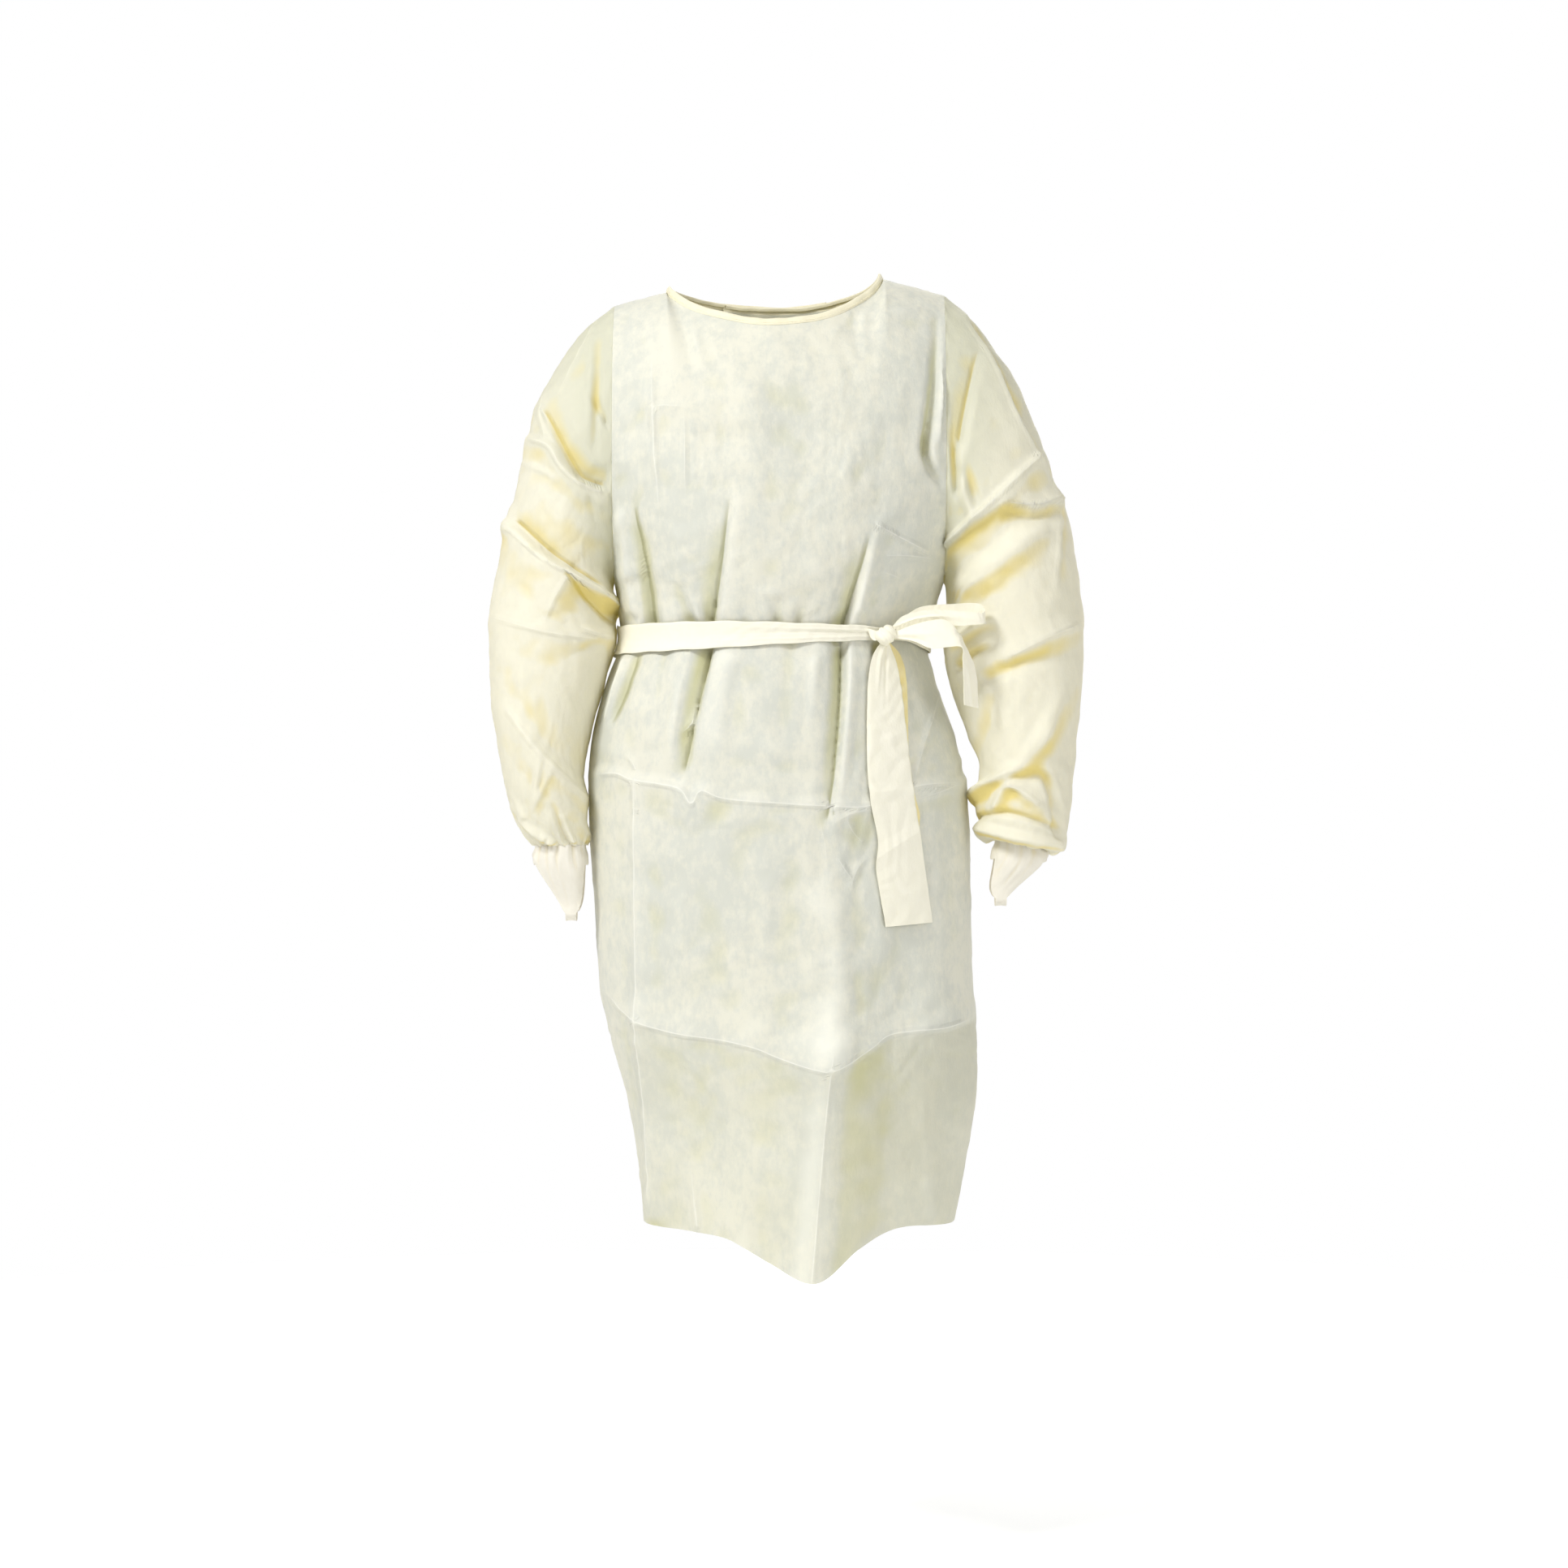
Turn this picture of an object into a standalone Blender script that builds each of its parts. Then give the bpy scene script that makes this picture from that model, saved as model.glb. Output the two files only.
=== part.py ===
"""Disposable isolation gown, worn and hollow, in metres. +Z is up and the front faces -Y.

The origin is between the neck points, at the height of the shoulders, where a wearer holds the gown
up. Left and right are the wearer's: the right sleeve is at -X. Every piece of cloth is an open
surface, worked out from sections, that a Solidify turns into a wall.
"""

import math

import bmesh
import bpy
import numpy as np

# ---------------------------------------------------------------- driving dimensions
WALL = 0.0015            # thickness of the cloth walls
SEAM_GAP = 0.0003        # half of the gap between two panels at a seam
HEM_Z = -1.070           # height of the hem at the side seams
UNDERARM_Z = -0.345      # top of the side seams
BELT_Z = -0.412          # middle of the belt at the right side seam
ARMHOLE_X = 0.187        # the armhole seams stand at -X and +X
ARMHOLE_DEPTH = 0.082    # how far an armhole reaches forwards and backwards
ARMHOLE_WRAP = 55.0      # degrees of arc that the chest has between the armholes, each way
SHOULDER_Z = {-1: -0.030, 1: -0.018}   # tips of the right (-1) and the left (1) shoulder

NECK_X = -0.005          # middle of the neck hole
NECK_HALF_WIDTH = 0.123
NECK_SIDE_Z = {-1: -0.014, 1: 0.000}   # the neck points, right and left
NECK = {-1: {"reach": 0.092, "z": -0.0625}, 1: {"reach": 0.074, "z": -0.030}}  # front and back
NECK_ROUNDING = 1.3      # over 1 rounds the binding where it crosses the shoulders
NECK_COLUMN = 0.625      # share of a panel's half width where the neck point falls
BINDING_HEIGHT = 0.0085
BINDING_WALL = 0.0024
BINDING_LEAN = 0.55      # how much the binding leans towards the neck, against its height

BACK_OVERLAP = 0.20      # share of the half back by which each back panel passes the centre
OVERLAP_LIFT = 0.0034    # how far the outer back panel stands off the inner one

BELT_WALL = 0.0016
BELT_CLEARANCE = 0.0032  # from the gown's smooth surface to the inside of the belt
KNOT = (0.1190, -0.1035, -0.4085)      # centre of the knot
KNOT_SIZE = (0.0140, 0.0090, 0.0125)   # half sizes

FRONT, BACK = -1, 1      # which way a panel faces along Y
CUFF_COLUMNS = 36
GATHERS = 12             # gathers round each wrist elastic

# Sections of the body from the underarm to the hem: the side seams, and the front and back at the middle.
BODY_SECTIONS = {
    "z":     (-0.345, -0.380, -0.412, -0.450, -0.520, -0.600, -0.700, -0.790, -0.850, -0.920, -1.000, -1.070),
    "right": (-0.187, -0.183, -0.180, -0.194, -0.213, -0.217, -0.211, -0.204, -0.192, -0.175, -0.161, -0.154),
    "left":  (0.187, 0.176, 0.168, 0.176, 0.200, 0.215, 0.218, 0.220, 0.222, 0.225, 0.213, 0.200),
    "front": (-0.134, -0.124, -0.117, -0.127, -0.138, -0.141, -0.139, -0.137, -0.137, -0.138, -0.140, -0.142),
    "back":  (0.108, 0.098, 0.092, 0.104, 0.124, 0.135, 0.137, 0.137, 0.137, 0.138, 0.139, 0.140),
}
# Front and back of the chest at the middle, from the underarm up to the middle of the armhole.
CHEST_SECTIONS = {
    "z":     (-0.345, -0.300, -0.250, -0.180),
    "front": (-0.134, -0.137, -0.135, -0.124),
    "back":  (0.108, 0.112, 0.114, 0.112),
}
# How far the front hem hangs below the hem line, across the front.
HEM_DROPS = {
    "x":    (-0.160, -0.090, -0.050, -0.010, 0.040, 0.088, 0.131, 0.205),
    "drop": (0.000, 0.002, 0.010, 0.031, 0.051, 0.016, -0.002, 0.000),
}
HEM_DROP_FROM = 0.22     # the drop fades out over this height above the hem

# Folds as (name, start x, z, end x, z, height at start, height at end, half width). A height under 0
# is a trough. Places are seen from the front; the back's are seen from the front too.
FRONT_FOLDS = (
    ("dart_right_up", -0.052, -0.245, -0.074, -0.395, -0.002, -0.013, 0.016),
    ("dart_right_down", -0.076, -0.398, -0.096, -0.520, -0.013, -0.003, 0.018),
    ("dart_left_up", 0.105, -0.290, 0.074, -0.398, -0.003, -0.013, 0.018),
    ("dart_left_down", 0.073, -0.402, 0.066, -0.640, -0.013, -0.004, 0.020),
    ("side_tuck", -0.158, -0.300, -0.140, -0.395, -0.003, -0.012, 0.016),
    ("armhole_tuck", 0.168, -0.075, 0.160, -0.290, -0.003, -0.011, 0.018),
    ("pucker_middle", -0.018, -0.372, 0.004, -0.366, -0.004, -0.004, 0.016),
    ("front_ridge_up", 0.066, -0.600, 0.055, -0.860, 0.004, 0.018, 0.060),
    ("front_ridge_down", 0.055, -0.860, 0.040, -1.130, 0.018, 0.034, 0.072),
    ("hollow_left", 0.120, -0.760, 0.125, -1.100, -0.004, -0.010, 0.050),
    ("hollow_right", -0.062, -0.800, -0.070, -1.100, -0.003, -0.012, 0.052),
    ("tail_hollow", 0.088, -0.640, 0.092, -0.740, -0.010, -0.006, 0.032),
    ("chest_hollow", 0.010, -0.170, 0.014, -0.300, -0.003, -0.003, 0.060),
)
BACK_FOLDS = (
    ("dart_right", -0.080, -0.280, -0.066, -0.400, -0.003, -0.012, 0.018),
    ("dart_right_down", -0.066, -0.400, -0.090, -0.620, -0.012, -0.004, 0.022),
    ("dart_left", 0.095, -0.260, 0.078, -0.400, -0.003, -0.012, 0.018),
    ("dart_left_down", 0.078, -0.400, 0.100, -0.640, -0.012, -0.004, 0.022),
    ("dart_side", 0.134, -0.310, 0.128, -0.400, -0.003, -0.010, 0.016),
    ("flank_right", -0.110, -0.700, -0.100, -1.090, -0.003, -0.013, 0.045),
    ("flank_left", 0.110, -0.680, 0.118, -1.090, -0.003, -0.013, 0.045),
)

# Sleeve rings, seen from the front: the outer and the inner point of each, then the ring's middle,
# front and back reach along Y. The first is the armhole and the last is the wrist elastic.
RIGHT_RINGS = {
    "outer_x": (-0.1890, -0.228, -0.268, -0.288, -0.306, -0.327, -0.329, -0.322, -0.312, -0.301, -0.288, -0.2750),
    "outer_z": (-0.0300, -0.066, -0.128, -0.190, -0.272, -0.365, -0.440, -0.510, -0.568, -0.608, -0.632, -0.6430),
    "inner_x": (-0.1890, -0.194, -0.197, -0.199, -0.199, -0.195, -0.209, -0.224, -0.226, -0.222, -0.219, -0.2190),
    "inner_z": (-0.3450, -0.352, -0.362, -0.374, -0.390, -0.412, -0.456, -0.515, -0.570, -0.606, -0.630, -0.6430),
    "middle":  (0.000, 0.000, -0.001, -0.002, -0.005, -0.010, -0.014, -0.019, -0.025, -0.030, -0.034, -0.036),
    "reach":   (0.082, 0.084, 0.084, 0.083, 0.081, 0.078, 0.074, 0.070, 0.062, 0.050, 0.036, 0.0265),
}
LEFT_RINGS = {
    "outer_x": (0.1890, 0.224, 0.264, 0.301, 0.331, 0.345, 0.343, 0.336, 0.331, 0.326, 0.321, 0.3010),
    "outer_z": (-0.0180, -0.050, -0.105, -0.190, -0.282, -0.385, -0.465, -0.535, -0.590, -0.627, -0.649, -0.6410),
    "inner_x": (0.1890, 0.193, 0.195, 0.196, 0.194, 0.190, 0.198, 0.217, 0.226, 0.222, 0.228, 0.2440),
    "inner_z": (-0.3450, -0.352, -0.360, -0.372, -0.390, -0.425, -0.470, -0.530, -0.566, -0.596, -0.626, -0.6370),
    "middle":  (0.000, 0.000, -0.001, -0.002, -0.005, -0.010, -0.014, -0.019, -0.025, -0.030, -0.034, -0.036),
    "reach":   (0.082, 0.084, 0.084, 0.083, 0.081, 0.078, 0.074, 0.070, 0.063, 0.057, 0.045, 0.0265),
}
# Sleeve folds, as the tables above, each on the front half and, moved down a little, on the back half.
RIGHT_SLEEVE_FOLDS = (
    ("elbow_hollow", -0.290, -0.290, -0.205, -0.365, -0.005, -0.008, 0.024),
    ("elbow_roll", -0.300, -0.312, -0.212, -0.392, 0.005, 0.005, 0.020),
    ("upper_hollow", -0.276, -0.195, -0.205, -0.240, -0.005, -0.007, 0.018),
    ("crook_hollow", -0.240, -0.365, -0.198, -0.400, -0.004, -0.006, 0.018),
    ("forearm_ridge", -0.290, -0.500, -0.225, -0.575, 0.007, 0.006, 0.022),
    ("wrist_hollow", -0.260, -0.585, -0.235, -0.600, -0.005, -0.004, 0.018),
)
LEFT_SLEEVE_FOLDS = (
    ("upper_ridge", 0.300, -0.250, 0.225, -0.290, 0.007, 0.005, 0.018),
    ("crook_hollow", 0.235, -0.300, 0.200, -0.325, -0.008, -0.010, 0.018),
    ("elbow_hollow", 0.315, -0.400, 0.212, -0.480, -0.005, -0.009, 0.026),
    ("forearm_ridge", 0.305, -0.480, 0.235, -0.548, 0.007, 0.007, 0.022),
    ("wrist_hollow", 0.250, -0.560, 0.232, -0.600, -0.007, -0.007, 0.018),
    ("wrist_roll", 0.300, -0.590, 0.240, -0.585, 0.004, 0.006, 0.018),
)
BACK_FOLD_DROP = 0.030   # a sleeve's folds are this much lower on its back

# Each cuff, seen from the front: where its rim and its thumb strap lie.
CUFFS = {
    "cuff_right": {"rings": RIGHT_RINGS, "side": -1, "flare": 0.004, "tip_x": -0.2345, "tip_z": -0.7290},
    "cuff_left": {"rings": LEFT_RINGS, "side": 1, "flare": 0.004, "tip_x": 0.2500, "tip_z": -0.7120},
}
CUFF_BAND = 0.021        # height of the cuff between its tongues
CUFF_GAP = 0.0026        # between the sleeve's end and the cuff
TONGUE_HALF_ANGLE = 62.0 # degrees of the rim that each tongue takes, each way
TONGUE_ROUND = 1.5       # over 1 rounds a tongue's sides outwards
STRAP_COLUMNS = 3        # spaces between columns at the tip, where the strap passes through
STRAP_ROWS = 6

# The belt's free pieces are ribbons between two edges, a (upper) and b (lower), one column a station
# from the knot to the end.
BELT_LOOP = {
    "ax": (0.1340, 0.1440, 0.1570, 0.1740, 0.1950, 0.2140, 0.2265, 0.2290, 0.2240, 0.2060, 0.1820, 0.1580, 0.1370),
    "ay": (-0.0990, -0.1030, -0.1060, -0.1080, -0.1085, -0.1080, -0.1040, -0.0975, -0.0930, -0.0915, -0.0915, -0.0910,
           -0.0910),
    "az": (-0.3940, -0.3830, -0.3770, -0.3745, -0.3735, -0.3725, -0.3760, -0.3790, -0.3800, -0.3810, -0.3830, -0.3880,
           -0.3960),
    "bx": (0.1355, 0.1500, 0.1640, 0.1820, 0.2000, 0.2180, 0.2275, 0.2295, 0.2240, 0.2060, 0.1820, 0.1580, 0.1375),
    "by": (-0.0990, -0.1025, -0.1055, -0.1080, -0.1090, -0.1085, -0.1050, -0.0980, -0.0935, -0.0920, -0.0915, -0.0910,
           -0.0910),
    "bz": (-0.4020, -0.3940, -0.3895, -0.3920, -0.3990, -0.3970, -0.3960, -0.3960, -0.3970, -0.3980, -0.3990, -0.4010,
           -0.4040),
}
BELT_TAIL_SHORT = {
    "ax": (0.1350, 0.1460, 0.1650, 0.1840, 0.1975, 0.2115, 0.2190, 0.2220),
    "ay": (-0.1040, -0.1090, -0.1150, -0.1160, -0.1130, -0.1050, -0.0990, -0.0950),
    "az": (-0.4050, -0.3985, -0.3935, -0.3925, -0.4045, -0.4300, -0.4500, -0.4900),
    "bx": (0.1350, 0.1480, 0.1680, 0.1880, 0.2025, 0.2035, 0.2045, 0.2052),
    "by": (-0.1050, -0.1120, -0.1190, -0.1210, -0.1210, -0.1170, -0.1140, -0.1120),
    "bz": (-0.4110, -0.4155, -0.4240, -0.4225, -0.4230, -0.4380, -0.4550, -0.4865),
}
# The long tail lies on the skirt: y is how far it stands off the front panel.
BELT_TAIL_LONG = {
    "ax": (0.1090, 0.1005, 0.0985, 0.0975, 0.1010, 0.1095, 0.1075, 0.1180),
    "ay": (0.0140, 0.0090, 0.0070, 0.0060, 0.0060, 0.0060, 0.0065, 0.0070),
    "az": (-0.4250, -0.4400, -0.4700, -0.5400, -0.5920, -0.6360, -0.6680, -0.7320),
    "bx": (0.1300, 0.1400, 0.1440, 0.1450, 0.1500, 0.1575, 0.1575, 0.1710),
    "by": (0.0140, 0.0100, 0.0080, 0.0060, 0.0060, 0.0060, 0.0065, 0.0070),
    "bz": (-0.4240, -0.4360, -0.4660, -0.5350, -0.5780, -0.6080, -0.6310, -0.7280),
}
BELT_HALF_WIDTHS = {
    "u":    (-1.000, -0.600, -0.200, 0.200, 0.500, 0.640),
    "half": (0.0165, 0.0170, 0.0155, 0.0105, 0.0075, 0.0065),
}
BELT_FRONT_RISE = 0.006  # how much higher the belt is at the knot than at the right side seam
BELT_BACK_HALF = 0.0190
KNOT_COLUMN = 0.400      # where the knot lies across the front, as the sine of the wrap there
BELT_END_GAP = 0.006     # angle share left free for the knot, on each side

CLOTH = {"name": "nonwoven_cloth", "colour": (0.86, 0.85, 0.70), "roughness": 0.75}
TRIM = {"name": "nonwoven_trim", "colour": (0.92, 0.90, 0.76), "roughness": 0.70}


# ---------------------------------------------------------------- small helpers
def smooth(t):
    """0 to 1 with soft ends."""
    t = np.clip(t, 0.0, 1.0)
    return t * t * (3.0 - 2.0 * t)


def along(table, key, column, at):
    """A smooth curve through a table's column, read at the values `at` of its key column."""
    keys, values = np.array(table[key], float), np.array(table[column], float)
    if keys[0] > keys[-1]:
        keys, values = keys[::-1], values[::-1]
    slopes = np.gradient(values, keys)
    at = np.clip(at, keys[0], keys[-1])
    left = np.clip(np.searchsorted(keys, at, side="right") - 1, 0, len(keys) - 2)
    span = keys[left + 1] - keys[left]
    t = (at - keys[left]) / span
    return (
        values[left] * (1 + 2 * t) * (1 - t) ** 2
        + slopes[left] * span * t * (1 - t) ** 2
        + values[left + 1] * t * t * (3 - 2 * t)
        + slopes[left + 1] * span * t * t * (t - 1)
    )


def by_side(pair, share):
    """Between the right side's value at share -1 and the left side's at share 1."""
    return pair[-1] + (pair[1] - pair[-1]) * (share + 1) / 2


def normals_of(points, flip=False):
    """The unit normal at each point of a grid of rows and columns."""
    across = np.gradient(points, axis=1)
    up = np.gradient(points, axis=0)
    normal = np.cross(across, up)
    normal /= np.maximum(np.linalg.norm(normal, axis=2, keepdims=True), 1e-12)
    return -normal if flip else normal


def fold_height(x, z, folds, drop=0.0):
    """How far each point stands out because of the folds near it."""
    height = np.zeros_like(x)
    for _, x0, z0, x1, z1, first, last, half_width in folds:
        z0, z1 = z0 - drop, z1 - drop
        length = math.hypot(x1 - x0, z1 - z0)
        ax, az = (x1 - x0) / length, (z1 - z0) / length
        run = (x - x0) * ax + (z - z0) * az
        off = (x - x0) * az - (z - z0) * ax
        share = np.clip(run / length, 0.0, 1.0)
        past = np.maximum(np.maximum(-run, run - length), 0.0)
        away = np.hypot(off, past) / half_width
        height += (first + (last - first) * share) * np.clip(1 - away, 0, 1) ** 2 * (1 + 2 * np.clip(away, 0, 1))
    return height


# ---------------------------------------------------------------- the body's smooth surface
def neck_ring(turn, face):
    """The lower edge of the neck binding. turn runs from -90 at the right neck point to 90 at the left one."""
    angle = np.radians(turn)
    x = NECK_X + NECK_HALF_WIDTH * np.sin(angle)
    y = face * NECK[face]["reach"] * np.cos(angle)
    side = by_side(NECK_SIDE_Z, np.sin(angle))
    z = side + (NECK[face]["z"] - side) * np.cos(angle).clip(0) ** NECK_ROUNDING
    return np.stack([x, y, z], axis=-1)


def top_edge(u, face):
    """The shoulder seams and, between the neck points, the neckline of a panel."""
    share = np.clip(np.abs(u) / NECK_COLUMN, 0, 1)
    ring = neck_ring(90 * np.sign(u) * share, face)
    out = np.clip((np.abs(u) - NECK_COLUMN) / (1 - NECK_COLUMN), 0, 1)[..., None]
    side = np.sign(u)
    tip = np.stack([side * ARMHOLE_X, np.zeros_like(u), by_side(SHOULDER_Z, side)], axis=-1)
    return ring + (tip - ring) * out


def armhole_middle_z(share):
    return (by_side(SHOULDER_Z, share) + UNDERARM_Z) / 2


def body_surface(u, v, face):
    """A point of the smooth gown. u runs across from the right side (-1) to the left (1). v runs from the
    hem (0) to the underarm (1), the middle of the armhole (2) and the shoulder seam and neckline (3)."""
    key = "front" if face == FRONT else "back"
    low = np.clip(v, 0, 1)
    z = HEM_Z + (UNDERARM_Z - HEM_Z) * low
    right, left, middle = (along(BODY_SECTIONS, "z", column, z) for column in ("right", "left", key))

    rise = np.radians(90 * np.clip(v - 1, 0, 1))
    z = z + (armhole_middle_z(u) - UNDERARM_Z) * (1 - np.cos(rise)) * (v > 1)
    middle = np.where(v > 1, along(CHEST_SECTIONS, "z", key, z), middle)
    edge = face * ARMHOLE_DEPTH * np.sin(rise) * (v > 1)
    wrap = np.radians(90 - (90 - ARMHOLE_WRAP) * smooth((v - 1) * 1.3))
    x = (left + right) / 2 + (left - right) / 2 * np.sin(wrap * u) / np.sin(wrap)
    y = edge + (middle - edge) * (np.cos(wrap * u) - np.cos(wrap)) / (1 - np.cos(wrap))
    point = np.stack([x, y, z], axis=-1)

    share = np.clip(v - 2, 0, 1)
    top = top_edge(u, face)
    over = np.radians(90 * share)
    shoulder = smooth((np.abs(u) - 0.35) / (NECK_COLUMN - 0.35))
    ease_y = share**2 + (1 - np.cos(over) - share**2) * shoulder
    ease_z = share + (np.sin(over) - share) * shoulder
    ease = np.stack([share, ease_y, ease_z], axis=-1)
    return point + (top - point) * ease * (v > 2)[..., None]


def hem_drop(points):
    """How far the front hem hangs below the level hem line."""
    near = smooth(1 - (points[..., 2] - HEM_Z) / HEM_DROP_FROM)
    return along(HEM_DROPS, "x", "drop", points[..., 0]) * near


def panel(u, v, face, lift=0.0):
    """A grid of a body panel, with its folds. u holds the columns and v the rows."""
    u, v = np.meshgrid(np.array(u, float), np.array(v, float))
    points = body_surface(u, v, face)
    if face == FRONT:
        points[..., 2] -= hem_drop(points)
    folds = FRONT_FOLDS if face == FRONT else BACK_FOLDS
    out = normals_of(points, flip=face == BACK)
    calm = smooth((1 - np.abs(u)) / 0.10) * smooth((3 - v) / 0.30)
    height = fold_height(points[..., 0], points[..., 2], folds) * calm
    points += out * (height + lift)[..., None]
    return points


def front_y(x, z):
    """How far forward the front panel is, seen at a place below the underarm."""
    v = (z - HEM_Z) / (UNDERARM_Z - HEM_Z)
    right, left = along(BODY_SECTIONS, "z", "right", z), along(BODY_SECTIONS, "z", "left", z)
    u = np.degrees(np.arcsin((x - (left + right) / 2) / ((left - right) / 2))) / 90
    return body_surface(u, v, FRONT)[..., 1] - np.maximum(fold_height(x, z, FRONT_FOLDS), 0)


# ---------------------------------------------------------------- building objects
def material(finish):
    found = bpy.data.materials.get(finish["name"])
    if found is None:
        found = bpy.data.materials.new(finish["name"])
        found.use_nodes = True
        shader = found.node_tree.nodes["Principled BSDF"]
        shader.inputs["Base Color"].default_value = (*finish["colour"], 1.0)
        shader.inputs["Roughness"].default_value = finish["roughness"]
    return found


def grid_mesh(points):
    """A bmesh grid whose vertices are moved to the points, row by row."""
    rows, columns = points.shape[:2]
    made = bmesh.new()
    bmesh.ops.create_grid(made, x_segments=columns - 1, y_segments=rows - 1, size=1.0)
    made.verts.ensure_lookup_table()
    for vertex, place in zip(made.verts, points.reshape(-1, 3)):
        vertex.co = place
    return made


def finish_object(name, made, finish, wall=None):
    """Turns a bmesh into an object in the gown's collection, with a wall grown inwards."""
    mesh = bpy.data.meshes.new(name)
    made.to_mesh(mesh)
    made.free()
    obj = bpy.data.objects.new(name, mesh)
    gown.objects.link(obj)
    mesh.materials.append(material(finish))
    mesh.shade_smooth()
    mesh.set_sharp_from_angle(angle=math.radians(50))
    if wall:
        solid = obj.modifiers.new("wall", "SOLIDIFY")
        solid.thickness = wall
        solid.offset = -1.0
    return obj


def cloth(name, points, finish=CLOTH, wall=WALL, flip=False, tube=False):
    """An open surface through the points, with a wall. A tube's last column meets its first."""
    made = grid_mesh(points)
    if tube:
        bmesh.ops.remove_doubles(made, verts=made.verts, dist=1e-6)
    if flip:
        bmesh.ops.reverse_faces(made, faces=made.faces)
    return finish_object(name, made, finish, wall)


# ---------------------------------------------------------------- body panels
def body_rows(skirt, bodice, underarm, shoulder):
    """Rows from the hem to the top, closer together round the waist."""
    waist = (-0.47 - HEM_Z) / (UNDERARM_Z - HEM_Z)
    return np.concatenate([
        np.linspace(0, waist, skirt, endpoint=False),
        np.linspace(waist, 1, bodice, endpoint=False),
        np.linspace(1, 2, underarm, endpoint=False),
        np.linspace(2, 3, shoulder + 1),
    ])


def leave_seams(points, face):
    """Moves a panel off the seams, and its top a little more, so that neighbours keep their gap."""
    points[:, :, 1] += face * SEAM_GAP
    points[-1, :, 1] += face * SEAM_GAP
    points[-1, :, 2] -= SEAM_GAP
    return points


def build_front():
    columns = np.linspace(-1, 1, 33)
    points = panel(columns, body_rows(9, 6, 3, 5), FRONT)
    cloth("front", leave_seams(points, FRONT))


def build_back():
    rows = body_rows(8, 6, 3, 5)
    inner = np.linspace(-BACK_OVERLAP, 1, 19)
    points = panel(inner, rows, BACK)
    cloth("back_left", leave_seams(points, BACK), flip=True)

    outer = np.linspace(-1, BACK_OVERLAP, 19)
    across, _ = np.meshgrid(outer, rows)
    lift = OVERLAP_LIFT * smooth((across + 0.48) / 0.22)
    points = panel(outer, rows, BACK, lift)
    cloth("back_right", leave_seams(points, BACK), flip=True)


# ---------------------------------------------------------------- sleeves and cuffs
def sleeve_surface(rings, turn, station, side):
    """A point of a smooth sleeve. turn is 0 at the outer edge, 90 at the back and 270 at the front."""
    table = dict(rings, station=tuple(range(len(rings["outer_x"]))))
    ox, oz, ix, iz, middle, reach = (
        along(table, "station", column, station)
        for column in ("outer_x", "outer_z", "inner_x", "inner_z", "middle", "reach")
    )
    angle = np.radians(turn)
    x = (ox + ix) / 2 + (ox - ix) / 2 * np.cos(angle)
    z = (oz + iz) / 2 + (oz - iz) / 2 * np.cos(angle)
    y = middle + reach * np.sin(angle)
    return np.stack([x, y, z], axis=-1)


def gathers(turn, depth):
    """Ripples round an elastic, pointed like pinched cloth."""
    return depth * (2 * np.abs(np.sin(np.radians(turn) * GATHERS / 2)) - 1.0)


def sleeve_folds(points, folds, turn):
    front = smooth(-np.sin(np.radians(turn)) * 2.5)
    back = smooth(np.sin(np.radians(turn)) * 2.5)
    x, z = points[..., 0], points[..., 2]
    return fold_height(x, z, folds) * front + fold_height(x, z, folds, BACK_FOLD_DROP) * back


def build_sleeve(name, rings, folds, side):
    last = len(rings["outer_x"]) - 1
    stations = np.concatenate([
        np.linspace(0, 3, 4, endpoint=False),
        np.linspace(3, 8, 7, endpoint=False),
        np.linspace(8, last, 6),
    ])
    turn, station = np.meshgrid(np.linspace(0, 360, CUFF_COLUMNS + 1), stations)
    points = sleeve_surface(rings, turn, station, side)
    flip = side > 0
    out = sleeve_normals(points, flip)
    calm = smooth(station / 1.5) * smooth((last - station) / 1.5)
    height = sleeve_folds(points, folds, turn) * calm
    height += gathers(turn, 0.0016) * smooth((station - last + 2.2) / 2.2)
    points += out * height[..., None]
    points[:, -1] = points[:, 0]
    cloth(name, points, flip=flip, tube=True)


def sleeve_normals(points, flip):
    """Normals of a closed tube: the first and last columns share one."""
    out = normals_of(points, flip)
    seam = out[:, 0] + out[:, -1]
    seam /= np.linalg.norm(seam, axis=1, keepdims=True)
    out[:, 0] = seam
    out[:, -1] = seam
    return out


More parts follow.
